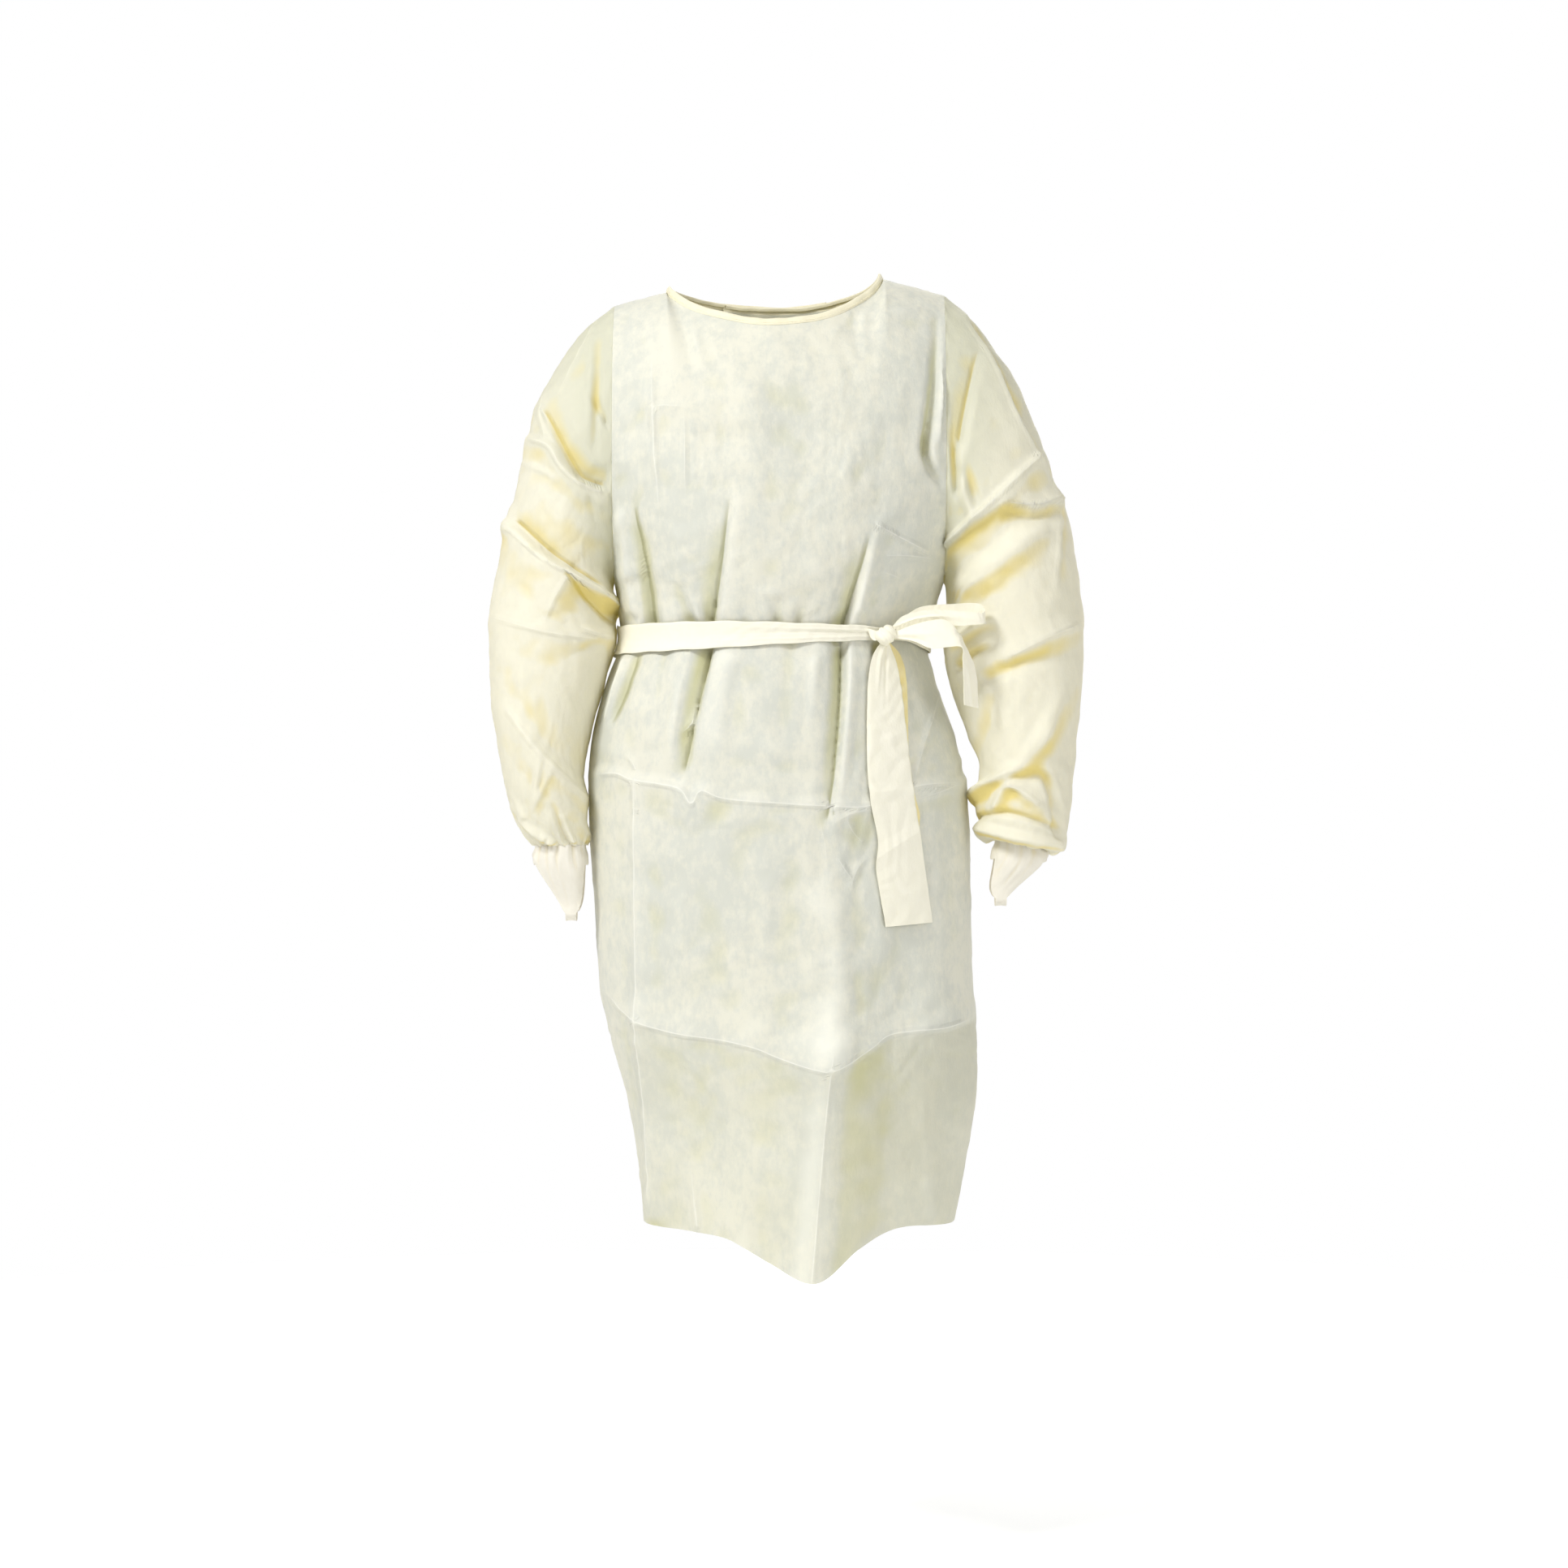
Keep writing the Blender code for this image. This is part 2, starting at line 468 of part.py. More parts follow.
def build_cuff(name, rings, side, flare, tip_x, tip_z):
    """A short flared tube whose rim has two tongues, in front and behind, joined under the hand by a
    strap. The thumb passes on the inner side of the strap and the fingers on its outer side."""
    turn = np.linspace(0, 360, CUFF_COLUMNS + 1)
    rim = sleeve_surface(rings, turn, np.full_like(turn, len(rings["outer_x"]) - 1.0), side)
    centre = (rim.max(axis=0) + rim.min(axis=0)) / 2
    out = (rim - centre) / np.linalg.norm(rim - centre, axis=1, keepdims=True)
    rows = np.linspace(0, 1, 6)
    points = np.zeros((len(rows), len(turn), 3))
    drop = centre[2] - tip_z
    for column, angle in enumerate(turn):
        away = min(abs((angle - 270 + 180) % 360 - 180), abs((angle - 90 + 180) % 360 - 180))
        strap = 180 * STRAP_COLUMNS / CUFF_COLUMNS
        beside = max(0.0, away - strap) / (TONGUE_HALF_ANGLE - strap)
        length = CUFF_BAND + (drop - 0.010 - CUFF_BAND) * max(0.0, 1 - beside**TONGUE_ROUND)
        for row, share in enumerate(rows):
            place = rim[column] + out[column] * flare * smooth(share * 1.6)
            place = place + out[column] * gathers(angle, 0.0016) * (1 - share) ** 2
            down = length * share
            lean = smooth((down - CUFF_BAND * 0.5) / (drop - CUFF_BAND))
            place[0] += (tip_x - centre[0]) * lean + (centre[0] - place[0]) * lean * 0.25
            place[1] += (centre[1] - place[1]) * lean * 0.55
            place[2] = rim[column][2] - CUFF_GAP - down
            points[row, column] = place
    points[:, -1] = points[:, 0]
    made = grid_mesh(points)
    bmesh.ops.remove_doubles(made, verts=made.verts, dist=1e-6)

    front, back = columns_at(270), columns_at(90)[::-1]
    strap = np.zeros((STRAP_ROWS + 1, STRAP_COLUMNS + 1, 3))
    for column in range(STRAP_COLUMNS + 1):
        start, end = points[-1, front[column]], points[-1, back[column]]
        for row in range(STRAP_ROWS + 1):
            share = row / STRAP_ROWS
            place = start + (end - start) * (1 - math.cos(math.pi * share)) / 2
            place[2] -= (start[2] - tip_z) * math.sin(math.pi * share)
            strap[row, column] = place
    add_grid(made, strap)
    bmesh.ops.remove_doubles(made, verts=made.verts, dist=1e-6)
    bmesh.ops.recalc_face_normals(made, faces=made.faces)
    face = min(made.faces, key=lambda f: f.calc_center_median().y)
    if face.normal.y > 0:
        bmesh.ops.reverse_faces(made, faces=made.faces)
    finish_object(name, made, CLOTH, WALL)


def columns_at(angle):
    """The columns of a cuff that the strap takes, either side of an angle."""
    middle = angle / 360 * CUFF_COLUMNS
    first = round(middle - STRAP_COLUMNS / 2)
    return list(range(first, first + STRAP_COLUMNS + 1))


def add_grid(made, points):
    """Adds a second grid of points to a bmesh."""
    other = grid_mesh(points)
    mesh = bpy.data.meshes.new("strap")
    other.to_mesh(mesh)
    other.free()
    made.from_mesh(mesh)
    bpy.data.meshes.remove(mesh)


# ---------------------------------------------------------------- neck binding
def build_binding():
    """One strip round the neck. Its ends overlap at the back, as the back panels do."""
    end = 90 * BACK_OVERLAP / NECK_COLUMN
    outer_back = np.linspace(end, -90, 12, endpoint=False)
    front = np.linspace(-90, 90, 27, endpoint=False)
    inner_back = np.linspace(90, -end, 12)
    ring = np.concatenate([neck_ring(outer_back, BACK), neck_ring(front, FRONT), neck_ring(inner_back, BACK)])
    lift = np.zeros(len(ring))
    lift[: len(outer_back)] = OVERLAP_LIFT * smooth((outer_back + 60) / 30)
    inward = np.array([NECK_X, 0, 0]) - ring
    inward[:, 2] = 0
    inward /= np.linalg.norm(inward, axis=1, keepdims=True)
    up = inward * BINDING_LEAN + np.array([0, 0, 1.0])
    up /= np.linalg.norm(up, axis=1, keepdims=True)
    out = -inward + np.array([0, 0, BINDING_LEAN])
    out /= np.linalg.norm(out, axis=1, keepdims=True)
    proud = (BINDING_WALL - WALL) / 2
    low = ring + up * SEAM_GAP * 4 + out * (lift + proud)[:, None]
    points = np.stack([low, low + up * BINDING_HEIGHT / 2 + out * proud, low + up * BINDING_HEIGHT])
    cloth("neck_binding", points, TRIM, BINDING_WALL)


# ---------------------------------------------------------------- belt
def belt_stretch(u, face, half, rise):
    """A band that follows the smooth waist, a little way off it."""
    heights = [BELT_Z + rise + share * half for share in (-1, -0.3, 0.3, 1)]
    rows = [body_surface(u, (z - HEM_Z) / (UNDERARM_Z - HEM_Z), face) for z in heights]
    points = np.array(rows)
    lift = OVERLAP_LIFT * smooth((0.60 - np.abs(u)) / 0.2) if face == BACK else 0 * u
    return points + normals_of(points) * (BELT_CLEARANCE + BELT_WALL + lift)[..., None]


def build_belt():
    knot = 2 / math.pi * math.asin((KNOT[0] + 0.006) / 0.174)
    u = np.linspace(-0.995, knot - 0.105, 26)
    half = along(BELT_HALF_WIDTHS, "u", "half", u)
    rise = BELT_FRONT_RISE * smooth((u + 1) / 1.4)
    cloth("belt_front", belt_stretch(u, FRONT, half, rise), TRIM, BELT_WALL)

    front = np.linspace(knot + 0.105, 1, 7, endpoint=False)
    back = np.linspace(1, -0.995, 27)
    widen = smooth((front - front[0]) / 0.35)
    half = 0.0070 + (BELT_BACK_HALF - 0.0070) * widen
    first = belt_stretch(front, FRONT, half, np.full_like(front, BELT_FRONT_RISE))
    settle = BELT_FRONT_RISE * smooth((back + 1) / 2)
    second = belt_stretch(back, BACK, np.full_like(back, BELT_BACK_HALF), settle)
    cloth("belt_back", np.concatenate([first, second], axis=1), TRIM, BELT_WALL)
    build_knot()
    ribbon("belt_loop", BELT_LOOP, 30)
    ribbon("belt_tail_short", BELT_TAIL_SHORT, 18)
    ribbon("belt_tail_long", BELT_TAIL_LONG, 20, on_front=True)


def build_knot():
    """A rounded lump with a waist, where the two ends of the belt are tied."""
    made = bmesh.new()
    bmesh.ops.create_uvsphere(made, u_segments=16, v_segments=10, radius=1.0)
    for vertex in made.verts:
        x, y, z = (math.copysign(abs(value) ** 0.75, value) for value in vertex.co)
        waist = 1.0 - 0.20 * math.exp(-((x / 0.35) ** 2))
        vertex.co = (
            KNOT[0] + KNOT_SIZE[0] * x,
            KNOT[1] + KNOT_SIZE[1] * y * waist,
            KNOT[2] + KNOT_SIZE[2] * z * waist,
        )
    finish_object("belt_knot", made, TRIM)


def ribbon(name, edges, steps, on_front=False):
    """A flat ribbon between two edges, which lies on the front panel where on_front says so."""
    table = dict(edges, step=tuple(range(len(edges["ax"]))))
    at = np.linspace(0, len(edges["ax"]) - 1, steps)
    upper, lower = (np.stack([along(table, "step", edge + axis, at) for axis in "xyz"], axis=-1) for edge in "ab")
    points = np.array([lower + (upper - lower) * share for share in np.linspace(0, 1, 4)])
    if on_front:
        points[..., 1] = front_y(points[..., 0], points[..., 2]) - points[..., 1]
    cloth(name, points, TRIM, BELT_WALL)


# ---------------------------------------------------------------- the gown
def main():
    build_front()
    build_back()
    build_sleeve("sleeve_right", RIGHT_RINGS, RIGHT_SLEEVE_FOLDS, -1)
    build_sleeve("sleeve_left", LEFT_RINGS, LEFT_SLEEVE_FOLDS, 1)
    for name, cuff in CUFFS.items():
        build_cuff(name, **cuff)
    build_binding()
    build_belt()


for old in list(bpy.data.objects):
    bpy.data.objects.remove(old)
gown = bpy.data.collections.new("isolation_gown")
bpy.context.scene.collection.children.link(gown)
main()
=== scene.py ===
# %% [markdown]
# # A disposable isolation gown
# The real gown is cut from pale yellow spunbond polypropylene, a felt-like cloth of melted threads.
# A front, two back panels that lap, two sleeves, two thumb-loop cuffs, a bound neck and a waist belt
# are sewn together. This script loads the plain solids of those pieces, then lays a thin, creased
# shell of cloth over each one. The gown is worn but nobody is in it, so every shell is hollow.

# %% Load the plain solids
import math

import bmesh
import bpy
import numpy as np
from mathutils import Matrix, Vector


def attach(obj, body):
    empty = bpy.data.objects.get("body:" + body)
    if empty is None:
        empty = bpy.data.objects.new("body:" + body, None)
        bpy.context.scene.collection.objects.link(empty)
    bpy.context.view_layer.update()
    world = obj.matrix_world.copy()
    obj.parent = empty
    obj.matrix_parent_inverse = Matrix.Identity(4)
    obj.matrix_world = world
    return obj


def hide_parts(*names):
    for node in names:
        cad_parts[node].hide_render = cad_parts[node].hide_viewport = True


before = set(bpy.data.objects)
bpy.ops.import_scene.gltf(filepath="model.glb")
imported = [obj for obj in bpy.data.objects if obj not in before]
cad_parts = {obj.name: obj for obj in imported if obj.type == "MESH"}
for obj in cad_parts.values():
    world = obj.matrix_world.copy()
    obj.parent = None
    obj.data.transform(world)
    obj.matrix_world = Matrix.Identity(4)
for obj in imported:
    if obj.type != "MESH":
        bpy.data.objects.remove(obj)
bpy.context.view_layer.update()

BODY = "root"
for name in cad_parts:
    print("solid to dress:", name)

# %% [markdown]
# ## The gown's sizes
# These are the cutting sizes of the solids, in metres: +Z is up, the front faces -Y and the origin is
# between the neck points. They are repeated here because a shell has to lie on its solid. Left and
# right are the gown's own, as when it is worn, so the right sleeve is at -X.

# %% Sizes of the cut
MM = 0.001
FRONT, BACK = -1, 1

HEM_Z = -1.070           # height of the hem at the side seams
UNDERARM_Z = -0.345      # top of the side seams
BELT_Z = -0.412          # middle of the belt at the right side seam
ARMHOLE_X = 0.187        # the armhole seams stand at -X and +X
ARMHOLE_DEPTH = 0.082    # how far an armhole reaches forwards and backwards
ARMHOLE_WRAP = 55.0      # degrees of arc that the chest has between the armholes, each way
WRAP_HASTE = 1.3         # over 1 ends the change of arc before the middle of the armhole
SHOULDER_Z = {-1: -0.030, 1: -0.018}      # tips of the right (-1) and the left (1) shoulder
SHOULDER_FROM = 0.35     # the column from which a panel rounds over the shoulder

NECK_X = -0.005          # middle of the neck hole
NECK_HALF_WIDTH = 0.123
NECK_SIDE_Z = {-1: -0.014, 1: 0.000}      # the neck points, right and left
NECK = {FRONT: {"reach": 0.092, "z": -0.0625}, BACK: {"reach": 0.074, "z": -0.030}}
NECK_ROUNDING = 1.3      # over 1 rounds the ring off at the neck points
NECK_COLUMN = 0.625      # share of a panel's half width where the neck point falls
BINDING_LEAN = 0.55      # how much the binding leans towards the neck, against its height

BACK_OVERLAP = 0.20      # share of the half back by which each back panel passes the centre
OVERLAP_LIFT = 0.0034    # how far the outer back panel stands off the inner one

BELT_OUT = 0.0044        # from the gown's smooth surface to the outside of the belt
BELT_FRONT_RISE = 0.006  # how much higher the belt is at the knot than at the right side seam
BELT_BACK_HALF = 0.0190  # half the belt's height behind
KNOT = (0.1190, -0.1045, -0.4085)         # middle of the knot

CLOTH_WALL = 0.0004      # the real cloth is about 0.3 mm thick
TRIM_WALL = 0.0007       # the belt is folded double
BINDING_WALL = 0.0005    # and so is the neck binding, with its edges turned in

# %% Sections of the body
BODY_SECTIONS = {
    "z":     (-0.345, -0.380, -0.412, -0.450, -0.520, -0.600, -0.700, -0.790, -0.850, -0.920, -1.000, -1.070),
    "right": (-0.187, -0.183, -0.180, -0.194, -0.213, -0.217, -0.211, -0.204, -0.192, -0.175, -0.161, -0.154),
    "left":  (0.187, 0.176, 0.168, 0.176, 0.200, 0.215, 0.218, 0.220, 0.222, 0.225, 0.213, 0.200),
    "front": (-0.134, -0.124, -0.117, -0.127, -0.138, -0.141, -0.139, -0.137, -0.137, -0.138, -0.140, -0.142),
    "back":  (0.108, 0.098, 0.092, 0.104, 0.124, 0.135, 0.137, 0.137, 0.137, 0.138, 0.139, 0.140),
}
CHEST_SECTIONS = {
    "z":     (-0.345, -0.300, -0.250, -0.180),
    "front": (-0.134, -0.137, -0.135, -0.124),
    "back":  (0.108, 0.112, 0.114, 0.112),
}
HEM_DROPS = {
    "x":    (-0.160, -0.090, -0.050, -0.010, 0.040, 0.088, 0.131, 0.205),
    "drop": (0.000, 0.002, 0.010, 0.031, 0.051, 0.016, -0.002, 0.000),
}
HEM_DROP_FROM = 0.22     # the drop fades out over this height above the hem

# %% Rings of the sleeves
# Seen from the front: the outer and inner point of each ring, then its middle and its reach along Y.
RIGHT_RINGS = {
    "outer_x": (-0.1872, -0.228, -0.268, -0.288, -0.306, -0.327, -0.329, -0.322, -0.312, -0.301, -0.288,
                -0.275),
    "outer_z": (-0.030, -0.066, -0.128, -0.190, -0.272, -0.365, -0.440, -0.510, -0.568, -0.608, -0.632,
                -0.643),
    "inner_x": (-0.1872, -0.190, -0.191, -0.191, -0.190, -0.1865, -0.1962, -0.2128, -0.2168, -0.2176, -0.218,
                -0.219),
    "inner_z": (-0.345, -0.352, -0.362, -0.374, -0.390, -0.412, -0.456, -0.515, -0.570, -0.606, -0.630,
                -0.643),
    "middle":  (0.000, 0.000, -0.001, -0.002, -0.005, -0.010, -0.014, -0.019, -0.025, -0.030, -0.034, -0.036),
    "reach":   (0.082, 0.084, 0.084, 0.083, 0.081, 0.078, 0.074, 0.070, 0.062, 0.050, 0.036, 0.0265),
}
LEFT_RINGS = {
    "outer_x": (0.1872, 0.224, 0.264, 0.301, 0.331, 0.345, 0.343, 0.336, 0.331, 0.326, 0.321, 0.301),
    "outer_z": (-0.018, -0.050, -0.105, -0.190, -0.282, -0.385, -0.465, -0.535, -0.590, -0.627, -0.649,
                -0.641),
    "inner_x": (0.1872, 0.190, 0.191, 0.191, 0.1895, 0.187, 0.197, 0.217, 0.226, 0.222, 0.228, 0.244),
    "inner_z": (-0.345, -0.352, -0.360, -0.372, -0.390, -0.425, -0.470, -0.530, -0.566, -0.596, -0.626,
                -0.637),
    "middle":  (0.000, 0.000, -0.001, -0.002, -0.005, -0.010, -0.014, -0.019, -0.025, -0.030, -0.034, -0.036),
    "reach":   (0.082, 0.084, 0.084, 0.083, 0.081, 0.078, 0.074, 0.070, 0.063, 0.057, 0.045, 0.0265),
}
WRIST = len(RIGHT_RINGS["outer_x"]) - 1
print(len(BODY_SECTIONS["z"]), "body sections and", WRIST + 1, "rings a sleeve")

# %% [markdown]
# ## The smooth form under the creases
# A gown is nearly a set of tubes, so each panel is a grid of points that two numbers place: one runs
# across the panel and one runs up it. Sections in the tables above are joined by smooth curves. A
# loft like this keeps the true outline, and a grid is easy to crease afterwards.

# %% Curves through a table
def smooth(t):
    """0 to 1 with soft ends."""
    t = np.clip(t, 0.0, 1.0)
    return t * t * (3.0 - 2.0 * t)


def along(table, key, column, at):
    """A smooth curve through a table's column, read at the values `at` of its key column."""
    keys, values = np.array(table[key], float), np.array(table[column], float)
    if keys[0] > keys[-1]:
        keys, values = keys[::-1], values[::-1]
    slopes = np.gradient(values, keys)
    at = np.clip(at, keys[0], keys[-1])
    left = np.clip(np.searchsorted(keys, at, side="right") - 1, 0, len(keys) - 2)
    span = keys[left + 1] - keys[left]
    t = (at - keys[left]) / span
    return (
        values[left] * (1 + 2 * t) * (1 - t) ** 2
        + slopes[left] * span * t * (1 - t) ** 2
        + values[left + 1] * t * t * (3 - 2 * t)
        + slopes[left + 1] * span * t * t * (t - 1)
    )


def by_side(pair, share):
    """Between the right side's value at share -1 and the left side's at share 1."""
    return pair[-1] + (pair[1] - pair[-1]) * (share + 1) / 2


def unit(vectors):
    """Vectors one unit long, in the same directions."""
    return vectors / np.linalg.norm(vectors, axis=-1, keepdims=True)


def raised(points, normals, height):
    """The points moved out along their normals, each by its own height."""
    return points + normals * height[..., None]


def normals_of(points, flip=False, tube=False):
    """The unit normal at each point of a grid of rows and columns."""
    if tube:
        across = (np.roll(points, -1, axis=1) - np.roll(points, 1, axis=1)) / 2
    else:
        across = np.gradient(points, axis=1)
    normal = np.cross(across, np.gradient(points, axis=0))
    normal /= np.maximum(np.linalg.norm(normal, axis=2, keepdims=True), 1e-12)
    return -normal if flip else normal


# %% The body's smooth surface
def neck_ring(turn, face):
    """The lower edge of the neck binding. turn runs from -90 at the right neck point to 90 at the left."""
    angle = np.radians(turn)
    x = NECK_X + NECK_HALF_WIDTH * np.sin(angle)
    y = face * NECK[face]["reach"] * np.cos(angle)
    side = by_side(NECK_SIDE_Z, np.sin(angle))
    z = side + (NECK[face]["z"] - side) * np.cos(angle).clip(0) ** NECK_ROUNDING
    return np.stack([x, y, z], axis=-1)


def top_edge(u, face):
    """The shoulder seams and, between the neck points, the neckline of a panel."""
    ring = neck_ring(90 * np.sign(u) * np.clip(np.abs(u) / NECK_COLUMN, 0, 1), face)
    out = np.clip((np.abs(u) - NECK_COLUMN) / (1 - NECK_COLUMN), 0, 1)[..., None]
    side = np.sign(u)
    tip = np.stack([side * ARMHOLE_X, np.zeros_like(u), by_side(SHOULDER_Z, side)], axis=-1)
    return ring + (tip - ring) * out


def body_surface(u, v, face):
    """A point of the smooth gown. u runs across from the right side (-1) to the left (1). v runs from
    the hem (0) to the underarm (1), the middle of the armhole (2) and the shoulder seam (3)."""
    key = "front" if face == FRONT else "back"
    z = HEM_Z + (UNDERARM_Z - HEM_Z) * np.clip(v, 0, 1)
    right, left, middle = (along(BODY_SECTIONS, "z", column, z) for column in ("right", "left", key))

    rise = np.radians(90 * np.clip(v - 1, 0, 1))
    armhole_middle = (by_side(SHOULDER_Z, u) + UNDERARM_Z) / 2
    z = z + (armhole_middle - UNDERARM_Z) * (1 - np.cos(rise)) * (v > 1)
    middle = np.where(v > 1, along(CHEST_SECTIONS, "z", key, z), middle)
    edge = face * ARMHOLE_DEPTH * np.sin(rise) * (v > 1)
    wrap = np.radians(90 - (90 - ARMHOLE_WRAP) * smooth((v - 1) * WRAP_HASTE))
    x = (left + right) / 2 + (left - right) / 2 * np.sin(wrap * u) / np.sin(wrap)
    y = edge + (middle - edge) * (np.cos(wrap * u) - np.cos(wrap)) / (1 - np.cos(wrap))
    point = np.stack([x, y, z], axis=-1)

    share = np.clip(v - 2, 0, 1)
    over = np.radians(90 * share)
    shoulder = smooth((np.abs(u) - SHOULDER_FROM) / (NECK_COLUMN - SHOULDER_FROM))
    ease_y = share**2 + (1 - np.cos(over) - share**2) * shoulder
    ease_z = share + (np.sin(over) - share) * shoulder
    ease = np.stack([share, ease_y, ease_z], axis=-1)
    return point + (top_edge(u, face) - point) * ease * (v > 2)[..., None]


# %% The sleeves' smooth surface
def sleeve_surface(rings, turn, station):
    """A point of a smooth sleeve. turn is 0 at the outer edge, 90 at the back and 270 at the front."""
    table = dict(rings, station=tuple(range(WRIST + 1)))
    ox, oz, ix, iz, middle, reach = (
        along(table, "station", column, station)
        for column in ("outer_x", "outer_z", "inner_x", "inner_z", "middle", "reach")
    )
    angle = np.radians(turn)
    x = (ox + ix) / 2 + (ox - ix) / 2 * np.cos(angle)
    z = (oz + iz) / 2 + (oz - iz) / 2 * np.cos(angle)
    y = middle + reach * np.sin(angle)
    return np.stack([x, y, z], axis=-1)


for face in ("front", "back"):
    print("the waist lies at Y = %.3f m at the %s" % (along(BODY_SECTIONS, "z", face, BELT_Z), face))

# %% [markdown]
# ## How the cloth creases
# Spunbond cloth is stiff for its weight. It doesn't flow like cotton: it buckles into sharp-edged
# folds, and it keeps the pressed lines of the packet it came in. A cloth simulation gives round,
# flowing folds, so the creases are listed one by one instead. Each one is a path over the cloth with a
# height that changes along it, a width on each side, and a crispness from 0 (soft) to 1 (pressed).

# %% One crease after another
LINE_STEPS = 7           # straight steps between two points of a crease's path
PRESSED = 0.8            # a crease at least this crisp also gets a line


def read_creases(text):
    """Rows of: name | path, as x z pairs | heights along it | widths | crispness, all in millimetres. A
    row that starts with spaces goes on from the row before it."""
    creases = []
    for row in text.strip().replace("\n    ", " ").splitlines():
        name, path, *numbers = row.split("|")
        heights, widths, crisp = ([float(number) for number in cell.split()] for cell in numbers)
        pairs = [[float(number) for number in pair.split()] for pair in path.split(",")]
        creases.append((name.strip(), pairs, heights, widths, crisp[0]))
    return creases


def soft_line(path):
    """A smooth curve through a few (x, z) points given in millimetres."""
    knots = np.array(path) * MM
    at = np.linspace(0, len(knots) - 1, LINE_STEPS * (len(knots) - 1) + 1)
    table = {"at": range(len(knots)), "x": knots[:, 0], "z": knots[:, 1]}
    return np.stack([along(table, "at", "x", at), along(table, "at", "z", at)], axis=-1)


def nearest_on(line, x, z):
    """The gap from each point to a line, how far along the line it is, and its side: -1 left, 1 right."""
    closest = np.full(x.shape, 1.0)
    place, side = np.zeros_like(x), np.zeros_like(x)
    for k in range(len(line) - 1):
        dx, dz = line[k + 1] - line[k]
        length = max(math.hypot(dx, dz), 1e-9)
        share = np.clip(((x - line[k, 0]) * dx + (z - line[k, 1]) * dz) / length**2, 0, 1)
        gx, gz = x - line[k, 0] - share * dx, z - line[k, 1] - share * dz
        gap = np.hypot(gx, gz)
        closer = gap < closest
        closest = np.where(closer, gap, closest)
        place = np.where(closer, (k + share) / (len(line) - 1), place)
        side = np.where(closer, (gx * dz - gz * dx) / np.maximum(gap * length, 1e-12), side)
    return closest, place, side


def points_near(line, x, z, reach):
    """Which points lie in the box round a line, with the reach added on every side."""
    near = np.abs(x - np.clip(x, line[:, 0].min(), line[:, 0].max())) < reach
    return near & (np.abs(z - np.clip(z, line[:, 1].min(), line[:, 1].max())) < reach)


def crease_height(x, z, creases):
    """How far each point stands out because of the creases near it. A crease's widths lie to the left
    and the right of one who walks its path: on a path that runs down they are towards +X and -X, on one
    that runs towards +X above and below."""
    total = np.zeros_like(x)
    for _, path, heights, widths, crisp in creases:
        line = soft_line(path)
        near = points_near(line, x, z, max(widths) * MM)
        gap, place, side = nearest_on(line, x[near], z[near])
        rise = np.interp(place, np.linspace(0, 1, len(heights)), heights) * MM
        width = (widths[0] + widths[1] + (widths[1] - widths[0]) * side) / 2 * MM
        away = np.clip(gap / width, 0, 1)
        soft = (1 - away) ** 2 * (1 + 2 * away)
        pointed = (1 - away) ** 1.15
        total[near] += rise * (soft + (pointed - soft) * crisp)
    return total


# %% The lines along pressed creases
LINE_REACH = 0.006       # how far beside a line its shading shows
LINE_FADE = 0.003        # the last stretch of that, where it fades
LINE_FAR = 0.018         # how far from a line its distance is kept
LINE_ENDS = 0.06         # share of its length over which a line fades in and out
FULL_LINE = 1.5          # millimetres of height that give a line its full strength


def crease_lines(x, z, creases):
    """The signed distance from each point to the nearest pressed line, and how sharp that line is: up
    to 1 for a ridge, down to -1 for a valley. The distance is positive on the crease's wider side. It
    changes evenly from point to point, so a material can draw a line finer than the mesh: a bump, with a
    painted highlight along a ridge and painted shade beside a valley."""
    distance, strength = np.full(x.shape, LINE_FAR), np.zeros_like(x)
    for _, path, heights, widths, crisp in creases:
        if crisp < PRESSED:
            continue
        wider = -1 if widths[0] > widths[1] else 1
        line = soft_line(path)
        near = points_near(line, x, z, LINE_FAR)
        gap, place, side = nearest_on(line, x[near], z[near])
        full = np.interp(place, np.linspace(0, 1, len(heights)), heights) / FULL_LINE
        ends = smooth(place / LINE_ENDS) * smooth((1 - place) / LINE_ENDS)
        closer = gap < np.abs(distance[near])
        distance[near] = np.where(closer, gap * np.where(side < 0, -wider, wider), distance[near])
        sharp = np.clip(full, -1, 1) * ends * (crisp - 0.2) / 0.8 * smooth((LINE_REACH - gap) / LINE_FADE)
        strength[near] = np.where(closer, sharp, strength[near])
    return distance, strength


# %% Small crumples
LATTICE = 128            # random values each way, after which the noise repeats
CRUMPLE_TURNS = (15.0, 62.0, 118.0, 160.0)  # degrees: the ways that the crossed folds run


def soft_noise(x, z, cell, seed):
    """Smooth noise from -1 to 1 whose bumps are about one cell wide."""
    lattice = np.random.default_rng(seed).uniform(-1, 1, (LATTICE, LATTICE))
    column, row = np.floor(x / cell).astype(int), np.floor(z / cell).astype(int)
    fx, fz = smooth(x / cell - column), smooth(z / cell - row)
    here, beside, rows = column % LATTICE, (column + 1) % LATTICE, (row % LATTICE, (row + 1) % LATTICE)
    low, high = (lattice[here, one] * (1 - fx) + lattice[beside, one] * fx for one in rows)
    return low * (1 - fz) + high * fz


def crumple(x, z, size, seed):
    """Flat facets with sharp edges between them, from about -1 to 1: crossed folds, bent and broken."""
    total = np.zeros_like(x)
    for k, turn in enumerate(CRUMPLE_TURNS):
        angle = math.radians(turn)
        bent = 0.9 * soft_noise(x, z, 1.7 * size, seed + k)
        wave = (x * math.cos(angle) + z * math.sin(angle)) / size + bent
        facets = 4 * np.abs(wave % 1 - 0.5) - 1
        total += facets * smooth(0.4 + soft_noise(x, z, 2.6 * size, seed + 10 + k))
    return total / 2


